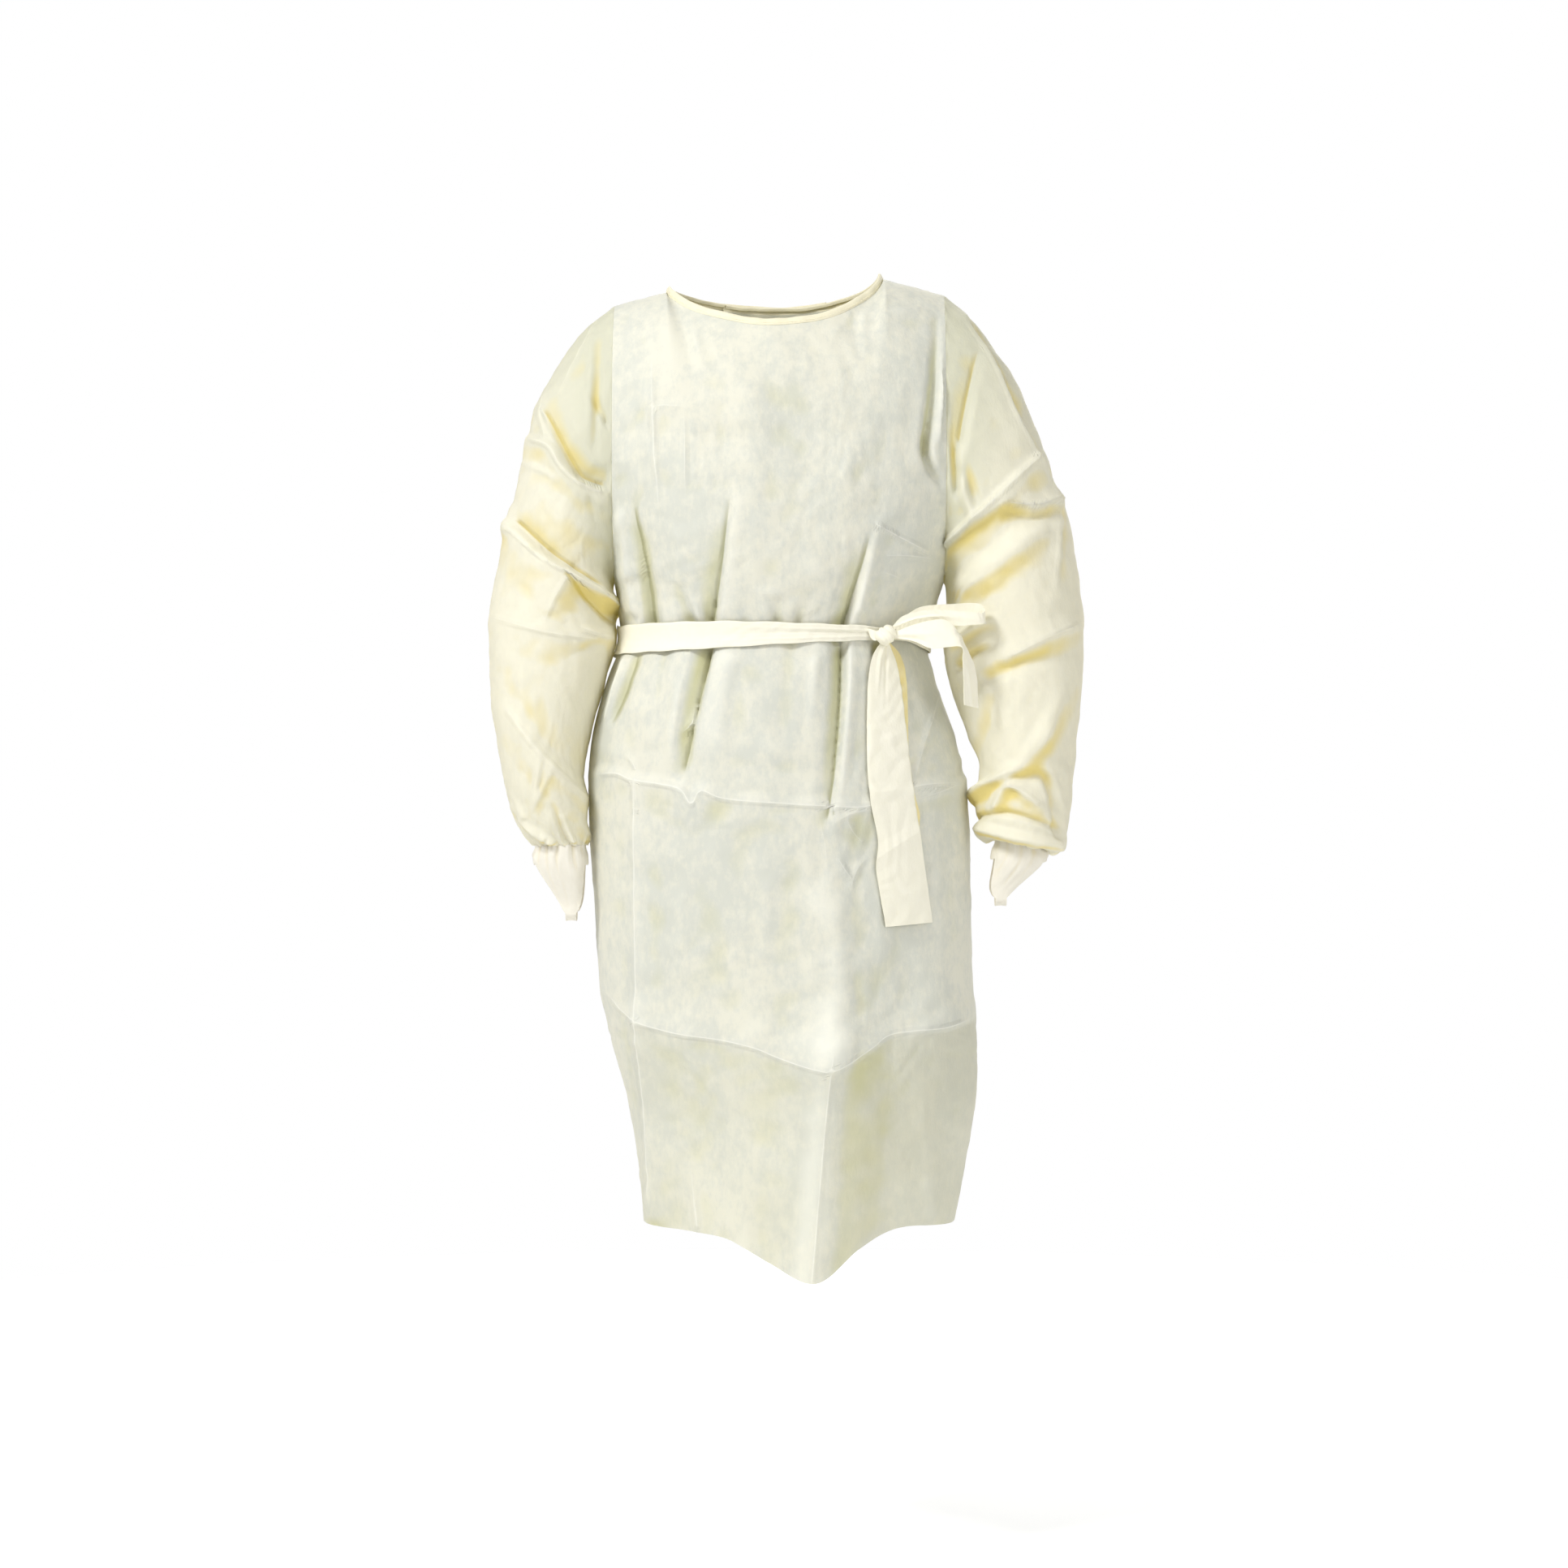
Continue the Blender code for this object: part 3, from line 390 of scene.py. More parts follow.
def crumples(x, z, sizes, seed):
    """Crumples of several sizes together. Each is (share, width of a facet, step of its seed)."""
    return sum(share * crumple(x, z, width, seed + step) for share, width, step in sizes)


test_x, test_z = np.meshgrid(np.linspace(-0.2, 0.2, 200), np.linspace(-1, 0, 200))
tried = crumple(test_x, test_z, 0.03, 1)
print("crumples run from %.2f to %.2f" % (tried.min(), tried.max()))

# %% [markdown]
# ## From a grid of points to cloth
# Each piece is one grid of points, so its mesh is a sheet of four-sided faces. A Solidify modifier
# gives it the cloth's thickness, grown inwards. Every point also keeps how deep it lies in a fold and
# how far it turns from the light, as an attribute that the material reads: it paints shade, in yellow,
# into folds and under lips, and a highlight along ridges.

# %% How deep a point lies
CAVITY_REACH = 4         # points to each side that a fold is compared with
LINE_HALF = 0.0009       # half the width of a pressed line
OVERHANG_WAY = (-0.35, -0.10, 0.93)  # up, towards the main light: what turns away from it gets painted shade, as under a lip
OVERHANG_GAIN = 1.6
OVERHANG_REACH = 2       # points to each side that the overhang is evened out over
CAVITY_FULL = 0.0026     # a point this far under its surroundings counts as fully in a fold


def blurred(values, reach, tube=False):
    """The mean of each point's neighbours in a grid."""
    for axis in (0, 1):
        pad = [(0, 0), (0, 0)]
        pad[axis] = (reach, reach)
        wide = np.pad(values, pad, mode="wrap" if tube and axis == 1 else "edge")
        count = values.shape[axis]
        values = sum(np.take(wide, range(k, k + count), axis=axis) for k in range(2 * reach + 1))
        values = values / (2 * reach + 1)
    return values


def cavity_of(height, tube=False):
    """1 deep in a fold, -1 along a ridge."""
    wide = blurred(blurred(height, CAVITY_REACH, tube), CAVITY_REACH, tube)
    return np.clip((wide - blurred(height, 1, tube)) / CAVITY_FULL, -1, 1)


def overhang(calm_normals, points, flip=False, tube=False):
    """How far each point is turned down from the smooth surface, as under the lip of a fold."""
    turned = ((calm_normals - normals_of(points, flip, tube)) * np.array(OVERHANG_WAY)).sum(axis=-1)
    return blurred(blurred(turned, OVERHANG_REACH, tube), OVERHANG_REACH, tube)


def painted_shade_and_highlight(height, calm_normals, points, flip=False, tube=False, gain=OVERHANG_GAIN):
    """How much painted shade, in yellow, each point gets in folds and under lips, up to 1, and how much
    painted highlight along ridges, down to -1.
    """
    under = gain * overhang(calm_normals, points, flip, tube)
    return np.clip(0.5 * cavity_of(height, tube) + under, -1, 1)


# %% A grid becomes a mesh
CUT_EDGE = 68.0          # degrees: cut edges are shaded sharp, creases soft
gown = bpy.data.collections.new("dressed_gown")
bpy.context.scene.collection.children.link(gown)


def sheet_mesh(name, points, cavity, tube=False, flip=False, **marks):
    """A sheet of faces through a grid of points. A tube's last column is joined to its first. cavity and
    the other marks become attributes of its points."""
    rows, columns = points.shape[:2]
    index = np.arange(rows * columns).reshape(rows, columns)
    left = index if tube else index[:, :-1]
    right = np.roll(index, -1, axis=1) if tube else index[:, 1:]
    faces = np.stack([left[:-1], right[:-1], right[1:], left[1:]], axis=-1).reshape(-1, 4)
    if flip:
        faces = faces[:, ::-1]
    mesh = bpy.data.meshes.new(name)
    mesh.from_pydata(points.reshape(-1, 3).tolist(), [], faces.tolist())
    for mark, values in dict(marks, cavity=cavity).items():
        values = np.broadcast_to(values, points.shape[:2]).astype(np.float32)
        mesh.attributes.new(mark, "FLOAT", "POINT").data.foreach_set("value", values.ravel())
    mesh.shade_smooth()
    return mesh


def joined(name, meshes, outwards=False):
    """One mesh of several, with the points that meet merged."""
    made = bmesh.new()
    for mesh in meshes:
        made.from_mesh(mesh)
        bpy.data.meshes.remove(mesh)
    bmesh.ops.remove_doubles(made, verts=made.verts, dist=1e-6)
    if outwards:
        bmesh.ops.recalc_face_normals(made, faces=made.faces)
    mesh = bpy.data.meshes.new(name)
    made.to_mesh(mesh)
    made.free()
    mesh.shade_smooth()
    return mesh


def cloth_object(name, mesh, material, wall):
    """An object at the origin, with its wall grown inwards."""
    obj = bpy.data.objects.new(name, mesh)
    gown.objects.link(obj)
    mesh.materials.append(material)
    if wall:
        solidify = obj.modifiers.new("cloth thickness", "SOLIDIFY")
        solidify.thickness = wall
        solidify.offset = -1.0
        evaluated = obj.evaluated_get(bpy.context.evaluated_depsgraph_get())
        obj.data = bpy.data.meshes.new_from_object(evaluated)
        obj.modifiers.clear()
        bpy.data.meshes.remove(mesh)
        obj.data.name = name
    obj.data.set_sharp_from_angle(angle=math.radians(CUT_EDGE))
    return obj


def lay(name, points, cavity, material, wall, tube=False, flip=False, **marks):
    """A finished piece of cloth from a grid of points."""
    return cloth_object(name, sheet_mesh(name, points, cavity, tube, flip, **marks), material, wall)


def denser(start, end, count, spots):
    """count values from start to end, closer together near each spot, given as (place, reach, gain)."""
    fine = np.linspace(start, end, 4000)
    weight = 1 + sum(gain * np.exp(-(((fine - place) / reach) ** 2)) for place, reach, gain in spots)
    total = np.concatenate([[0], np.cumsum((weight[1:] + weight[:-1]) / 2)])
    return np.interp(np.linspace(0, 1, count), total / total[-1], fine)


print("cavity of a flat sheet:", cavity_of(np.zeros((20, 20))).max())

# %% [markdown]
# ## Materials
# The cloth is spunbond polypropylene, so its finish is made from four things: a pale yellow dye, a
# cloudy unevenness where the threads fell thick or thin, light that comes through, and painted shade
# in folds, under lips, along pressed valleys and below the packet's lower line, with painted
# highlights along ridges. The belt and the binding are the same cloth folded double, so they are denser.

# %% Helpers for materials
def srgb(text):
    """A linear colour from a hex value."""
    values = [int(text[k:k + 2], 16) / 255 for k in (1, 3, 5)]
    return (*(v / 12.92 if v <= 0.04045 else ((v + 0.055) / 1.055) ** 2.4 for v in values), 1.0)


def add_node(tree, kind, inputs=None, **settings):
    """Adds a node. Each input is a plain value, or another node's output to link."""
    made = tree.nodes.new(kind)
    for setting, value in settings.items():
        setattr(made, setting, value)
    for socket, value in (inputs or {}).items():
        if isinstance(value, bpy.types.NodeSocket):
            tree.links.new(value, made.inputs[socket])
        else:
            made.inputs[socket].default_value = value
    return made


def new_material(name):
    made = bpy.data.materials.new(name)
    made.use_nodes = True
    made.node_tree.nodes.clear()
    return made, made.node_tree


# %% Spunbond polypropylene
CLOUD = 0.016            # thick and thin patches in the web are 8 to 25 mm across
STREAK = 0.0065          # streaks along the machine's direction, which runs down the panel
STREAK_SQUASH = 0.50     # under 1 draws the web's unevenness out up and down the cloth
FIBRE = 0.0028           # real threads are 0.02 mm, so they are drawn as coarse as shows in a render
FELT_DEPTH = 0.0009
LINE_DEPTH = 0.0015      # how far a pressed line's crest stands up
LINE_LIP = 0.0012        # how far a valley's shade reaches over to its narrower side
# The most painted shade a fold gets, and the most painted highlight a ridge gets.
FOLD_SHADE_MAX, RIDGE_HIGHLIGHT_MAX = 0.95, 0.60


def spunbond(name, pale, cool, dull, deep, crest, seam, through, glow, patchy=1.0):
    """Spunbond polypropylene: a web of melted threads, pressed together at points. It is matt with a
    faint silky sheen, and uneven like paper held to the light. pale and cool are the web's thin and
    thick patches. dull is painted shade where the cloth hangs turned from the light, and on a sleeve the
    body's cooler colour showing through at the shoulder. deep is painted shade in a fold and under its
    lip, crest a painted highlight along a ridge, and seam painted shade beside a pressed valley. through
    is the share of light that passes, tinted by glow."""
    made, tree = new_material(name)
    place = add_node(tree, "ShaderNodeTexCoord")
    down = add_node(tree, "ShaderNodeMapping",
                    {"Vector": place.outputs["Object"], "Scale": (1, 1, STREAK_SQUASH)})
    clouds = add_node(tree, "ShaderNodeTexNoise",
                      {"Vector": place.outputs["Object"], "Scale": 1 / CLOUD, "Detail": 5.0,
                       "Roughness": 0.62})
    streaks = add_node(tree, "ShaderNodeTexNoise",
                       {"Vector": down.outputs[0], "Scale": 1 / STREAK, "Detail": 3.0, "Roughness": 0.7})
    broad = add_node(tree, "ShaderNodeTexNoise",
                     {"Vector": down.outputs[0], "Scale": 1 / (4.5 * CLOUD), "Detail": 2.0, "Roughness": 0.5})
    both = add_node(tree, "ShaderNodeMath", {0: clouds.outputs[0], 1: streaks.outputs[0]}, operation="ADD")
    web = add_node(tree, "ShaderNodeMath", {0: both.outputs[0], 1: broad.outputs[0]}, operation="ADD")
    patches = add_node(tree, "ShaderNodeMapRange",
                       {"Value": web.outputs[0], "From Min": 1.28, "From Max": 1.68, "To Max": patchy})
    cloth = add_node(tree, "ShaderNodeMix", {0: patches.outputs[0], 6: srgb(pale), 7: srgb(cool)},
                     data_type="RGBA")

    # Painted shade where the panels hang turned from the light; on a sleeve, the body's cooler colour at the
    # shoulder.
    dim = add_node(tree, "ShaderNodeAttribute", attribute_name="dim")
    cloth = add_node(tree, "ShaderNodeMix", {0: dim.outputs["Fac"], 6: cloth.outputs[2], 7: srgb(dull)},
                     data_type="RGBA")

    # Painted shade, yellow, deep in folds and under lips; a painted highlight along ridges.
    cavity = add_node(tree, "ShaderNodeAttribute", attribute_name="cavity")
    in_fold = add_node(tree, "ShaderNodeMapRange",
                       {"Value": cavity.outputs["Fac"], "From Min": 0.10, "From Max": 1.1,
                        "To Max": FOLD_SHADE_MAX})
    on_ridge = add_node(tree, "ShaderNodeMapRange",
                        {"Value": cavity.outputs["Fac"], "From Min": -0.10, "From Max": -1.0,
                         "To Max": RIDGE_HIGHLIGHT_MAX})
    colour = cloth
    for share, painted_light in ((in_fold, deep), (on_ridge, crest)):
        colour = add_node(tree, "ShaderNodeMix", {0: share.outputs[0], 6: colour.outputs[2], 7: srgb(painted_light)},
                          data_type="RGBA")

    # A pressed line: a painted highlight along a ridge, painted shade on the wider side of a valley.
    distance = add_node(tree, "ShaderNodeAttribute", attribute_name="line_distance")
    strength = add_node(tree, "ShaderNodeAttribute", attribute_name="line_strength")
    away = add_node(tree, "ShaderNodeMath", {0: distance.outputs["Fac"]}, operation="ABSOLUTE")
    edge = add_node(tree, "ShaderNodeMapRange",
                    {"Value": away.outputs[0], "From Min": LINE_HALF, "From Max": 0.0})
    line = add_node(tree, "ShaderNodeMath", {0: edge.outputs[0], 1: strength.outputs["Fac"]},
                    operation="MULTIPLY")
    ridge = add_node(tree, "ShaderNodeMath", {0: line.outputs[0], 1: 0.8}, operation="MULTIPLY",
                     use_clamp=True)
    shaded = add_node(tree, "ShaderNodeMapRange",
                      {"Value": distance.outputs["Fac"], "From Min": LINE_REACH, "From Max": 0.0})
    sunk = add_node(tree, "ShaderNodeMapRange",
                    {"Value": distance.outputs["Fac"], "From Min": -LINE_LIP, "From Max": 0.0,
                     "To Max": -0.9})
    shade = add_node(tree, "ShaderNodeMath", {0: shaded.outputs[0], 1: sunk.outputs[0]}, operation="MULTIPLY")
    valley = add_node(tree, "ShaderNodeMath", {0: shade.outputs[0], 1: strength.outputs["Fac"]},
                      operation="MULTIPLY", use_clamp=True)
    for share, painted_light in ((ridge, crest), (valley, seam)):
        colour = add_node(tree, "ShaderNodeMix", {0: share.outputs[0], 6: colour.outputs[2], 7: srgb(painted_light)},
                          data_type="RGBA")

    # The felt of the threads, then the step of the pressed line on top of it.
    fibres = add_node(tree, "ShaderNodeTexNoise",
                      {"Vector": down.outputs[0], "Scale": 1 / FIBRE, "Detail": 2.0, "Roughness": 0.6})
    felt = add_node(tree, "ShaderNodeMath", {0: fibres.outputs[0], 1: both.outputs[0]}, operation="ADD")
    felted = add_node(tree, "ShaderNodeBump",
                      {"Height": felt.outputs[0], "Strength": 0.22, "Distance": FELT_DEPTH})
    beside = add_node(tree, "ShaderNodeMapRange",
                      {"Value": away.outputs[0], "From Min": LINE_REACH, "From Max": 0.0})
    pressed = add_node(tree, "ShaderNodeMath", {0: beside.outputs[0], 1: strength.outputs["Fac"]},
                       operation="MULTIPLY")
    bump = add_node(tree, "ShaderNodeBump",
                    {"Height": pressed.outputs[0], "Strength": 1.0, "Distance": LINE_DEPTH,
                     "Normal": felted.outputs[0]})
    surface = add_node(tree, "ShaderNodeBsdfPrincipled",
                       {"Base Color": colour.outputs[2], "Roughness": 0.62, "IOR": 1.49,
                        "Specular IOR Level": 0.28,
                        "Sheen Weight": 0.12, "Sheen Roughness": 0.4, "Normal": bump.outputs[0]})
    passed = add_node(tree, "ShaderNodeBsdfTranslucent", {"Color": srgb(glow), "Normal": bump.outputs[0]})
    mixed = add_node(tree, "ShaderNodeMixShader",
                     {0: through, 1: surface.outputs[0], 2: passed.outputs[0]})
    add_node(tree, "ShaderNodeOutputMaterial", {"Surface": mixed.outputs[0]})
    return made


# Over the body the cloth lies on other cloth and looks greyer. A sleeve has light behind it.
# In each, dull, deep and seam are painted shade and crest a painted highlight; on a sleeve dull is
# the body's cooler colour at the shoulder.
body_cloth = spunbond(
    "spunbond_polypropylene_body", pale="#e9e8dc", cool="#dadcd4", dull="#cfcebb", deep="#cfcd94",
    crest="#fdfdf6", seam="#a3a278", through=0.24, glow="#f2ecba")
sleeve_cloth = spunbond(
    "spunbond_polypropylene_sleeve", pale="#f8f7f0", cool="#f0f0ea", dull="#dfe1d7", deep="#f4e28c",
    crest="#fffffa", seam="#d9c566", through=0.40, glow="#f9f3c0", patchy=0.7)
cuff_cloth = spunbond(
    "spunbond_polypropylene_cuff", pale="#f3f0e6", cool="#ece9de", dull="#ece9de", deep="#e6d9ae",
    crest="#fffdf6", seam="#dcc58c", through=0.25, glow="#f7f0da", patchy=0.6)
doubled_cloth = spunbond(
    "doubled_spunbond_trim", pale="#f9f6e6", cool="#f5f2df", dull="#f5f2df", deep="#f3dd78",
    crest="#fffffa", seam="#d9c970", through=0.16, glow="#fbf2c4", patchy=0.5)
binding_cloth = spunbond(
    "doubled_spunbond_binding", pale="#efe9cf", cool="#e9e3c6", dull="#e9e3c6", deep="#e3d48e",
    crest="#f7f3e0", seam="#d3c47c", through=0.12, glow="#f6ecb8", patchy=0.5)

# %% Thread and studio floor
TWIST_PER_METRE = 900.0  # the thread's plies turn about once a millimetre
ROLL_PER_METRE = 6.0     # marks of a paint roller


def sewing_thread():
    """Spun polyester sewing thread: matt, a shade lighter than the binding it holds."""
    made, tree = new_material("polyester_sewing_thread")
    place = add_node(tree, "ShaderNodeTexCoord")
    twist = add_node(tree, "ShaderNodeTexNoise",
                     {"Vector": place.outputs["Object"], "Scale": TWIST_PER_METRE, "Detail": 1.0})
    colour = add_node(tree, "ShaderNodeMix", {0: twist.outputs[0], 6: srgb("#f3e7b4"), 7: srgb("#fffbe6")},
                      data_type="RGBA")
    surface = add_node(tree, "ShaderNodeBsdfPrincipled", {"Base Color": colour.outputs[2], "Roughness": 0.7})
    add_node(tree, "ShaderNodeOutputMaterial", {"Surface": surface.outputs[0]})
    return made


def painted_floor():
    """A matt white studio floor, with the faint unevenness of rolled paint."""
    made, tree = new_material("matt_white_floor_paint")
    place = add_node(tree, "ShaderNodeTexCoord")
    roll = add_node(tree, "ShaderNodeTexNoise",
                    {"Vector": place.outputs["Object"], "Scale": ROLL_PER_METRE, "Detail": 3.0})
    colour = add_node(tree, "ShaderNodeMix", {0: roll.outputs[0], 6: srgb("#f7f7f5"), 7: srgb("#fcfcfa")},
                      data_type="RGBA")
    surface = add_node(tree, "ShaderNodeBsdfPrincipled",
                       {"Base Color": colour.outputs[2], "Roughness": 0.8, "Emission Color": srgb("#ffffff"),
                        "Emission Strength": 0.10})
    add_node(tree, "ShaderNodeOutputMaterial", {"Surface": surface.outputs[0]})
    return made


thread = sewing_thread()
floor_paint = painted_floor()
print(len(bpy.data.materials), "materials, CAD's own included")

# %% [markdown]
# ## Front and back panels
# The front is one width of cloth from the neck to the hem. Its broad waves come first, then the sharp
# ones: darts that the tied belt pulls in, puckers over the belt, and the pressed lines of the packet.
# Rows and columns lie closer together where the sharp creases are.

# %% Broad waves of the panels
# (name, start x, z, end x, z, height at start, height at end, half width), in metres.
FRONT_WAVES = (
    ("front_ridge_up", 0.066, -0.600, 0.055, -0.860, 0.002, 0.010, 0.070),
    ("hollow_left", 0.120, -0.800, 0.125, -1.100, -0.002, -0.005, 0.060),
    ("hollow_right", -0.062, -0.800, -0.070, -1.100, -0.002, -0.008, 0.060),
    ("tail_hollow", 0.088, -0.640, 0.092, -0.740, -0.005, -0.003, 0.036),
    ("chest_hollow", 0.010, -0.170, 0.014, -0.300, -0.003, -0.003, 0.060),
)
BACK_WAVES = (
    ("flank_right", -0.110, -0.700, -0.100, -1.090, -0.003, -0.013, 0.045),
    ("flank_left", 0.110, -0.680, 0.118, -1.090, -0.003, -0.013, 0.045),
    ("seat", 0.010, -0.560, 0.000, -0.900, 0.003, 0.002, 0.070),
)


def wave_height(x, z, waves):
    """How far each point stands out because of the broad waves near it."""
    height = np.zeros_like(x)
    for _, x0, z0, x1, z1, first, last, half_width in waves:
        length = math.hypot(x1 - x0, z1 - z0)
        ax, az = (x1 - x0) / length, (z1 - z0) / length
        run = (x - x0) * ax + (z - z0) * az
        off = (x - x0) * az - (z - z0) * ax
        past = np.maximum(np.maximum(-run, run - length), 0.0)
        away = np.clip(np.hypot(off, past) / half_width, 0, 1)
        height += (first + (last - first) * np.clip(run / length, 0, 1)) * (1 - away) ** 2 * (1 + 2 * away)
    return height


# %% Creases of the front
CHEST_CREASES = read_creases("""
pressed_line_right | -142 -100, -139 -190, -133 -268 | 0.3 1.4 0.6 | 8 14 | 0.9
pressed_step | -106 -150, -104 -210, -104 -262 | 0 1.2 0 | 5 22 | 0.85
pressed_step_top | -150 -156, -128 -154, -104 -156 | 0 0.9 0.3 | 6 14 | 0.85
side_bulge | -175 -275, -166 -340, -156 -398 | 2 4.5 5 | 6 18 | 0.7
side_tuck | -162 -262, -151 -340, -145 -404 | -0.6 -5 -7 | 18 6 | 0.9
dart_right | -54 -255, -64 -330, -76 -404 | 0 -3 -7 | 6 30 | 0.9
dart_right_lip | -45 -232, -48 -268, -57 -330, -66 -398 | 0 1.2 1.6 1.2 | 18 6 | 0.6
hollow_above_belt | -118 -345, -108 -375, -100 -402 | 0 -2.5 -4 | 14 12 | 0.1
swell_above_belt | -97 -360, -86 -398 | 0 3 | 9 9 | 0.2
pucker_1 | -24 -358, -15 -380, -9 -404 | 0 2.2 2.4 | 9 9 | 0.6
pucker_1_arc | -26 -364, -14 -360, -2 -366, 4 -380 | 0 1.4 1.4 0 | 6 10 | 0.7
pucker_2 | -2 -368, -3 -404 | 0 -4 | 7 7 | 0.3
pucker_3 | 18 -366, 6 -404 | 0 2.4 | 9 8 | 0.7
pucker_4 | 26 -370, 20 -404 | 0 -3.5 | 7 7 | 0.3
pucker_5 | 38 -366, 46 -404 | 0 2.2 | 4 4 | 0.6
pucker_6 | -40 -372, -36 -404 | 0 -2 | 7 7 | 0.2
dart_left | 101 -296, 88 -350, 73 -406 | 0 -3.4 -8 | 4 24 | 0.95
dart_left_lip | 111 -284, 97 -345, 83 -402 | 0.6 2 2.4 | 18 6 | 0.7
packet_line_1 | 104 -285, 138 -302, 167 -315 | 1.2 1.5 0.6 | 3 3 | 1
packet_line_2 | 118 -321, 145 -320, 172 -322 | 0.6 1.1 0.4 | 3 3 | 1
packet_line_3 | 116 -339, 126 -342, 136 -346 | 0.4 0.8 0.2 | 3 3 | 1
armhole_tuck | 178 -55, 176 -110, 170 -165, 166 -200, 172 -222, 184 -238 | -1 -3 -5 -9 -6 -2 | 6 12 | 0.4
armhole_lip | 182 -98, 181 -150, 179 -190 | 1 3 1 | 4 6 | 0.4
shoulder_swell | 100 -50, 140 -44, 176 -45 | 0 2 0 | 10 14 | 0
chest_hang_1 | -60 -110, -66 -180, -62 -240 | -0.2 -0.9 -0.2 | 22 26 | 0
chest_hang_2 | 22 -100, 27 -220, 22 -330 | -0.2 -1 -0.2 | 26 24 | 0
chest_hang_3 | 66 -130, 72 -220, 70 -300 | 0.2 0.9 0.2 | 20 24 | 0
chest_hang_4 | -20 -150, -24 -240, -28 -330 | 0.2 0.8 0.5 | 22 22 | 0
chest_hang_5 | 134 -90, 130 -170, 124 -250 | 0.2 1 0.3 | 18 16 | 0.2
chest_facet_1 | -92 -60, -36 -140, -8 -215 | 0.2 1.2 0.2 | 26 34 | 0.7
chest_facet_2 | 150 -120, 96 -190, 60 -262 | 0.2 1.3 0.2 | 30 26 | 0.7
belly_facet_1 | -30 -262, 2 -310, 44 -352 | 0.2 1.5 0.3 | 20 30 | 0.7
belly_facet_2 | -128 -250, -112 -300, -108 -350 | 0.2 1.2 0.5 | 18 22 | 0.7
neck_drag_right | -100 -52, -90 -90, -84 -130 | 0.5 1.6 0 | 12 12 | 0.1
neck_drag_left | 92 -34, 96 -80, 92 -120 | 0.5 1.8 0 | 14 12 | 0.1
""")
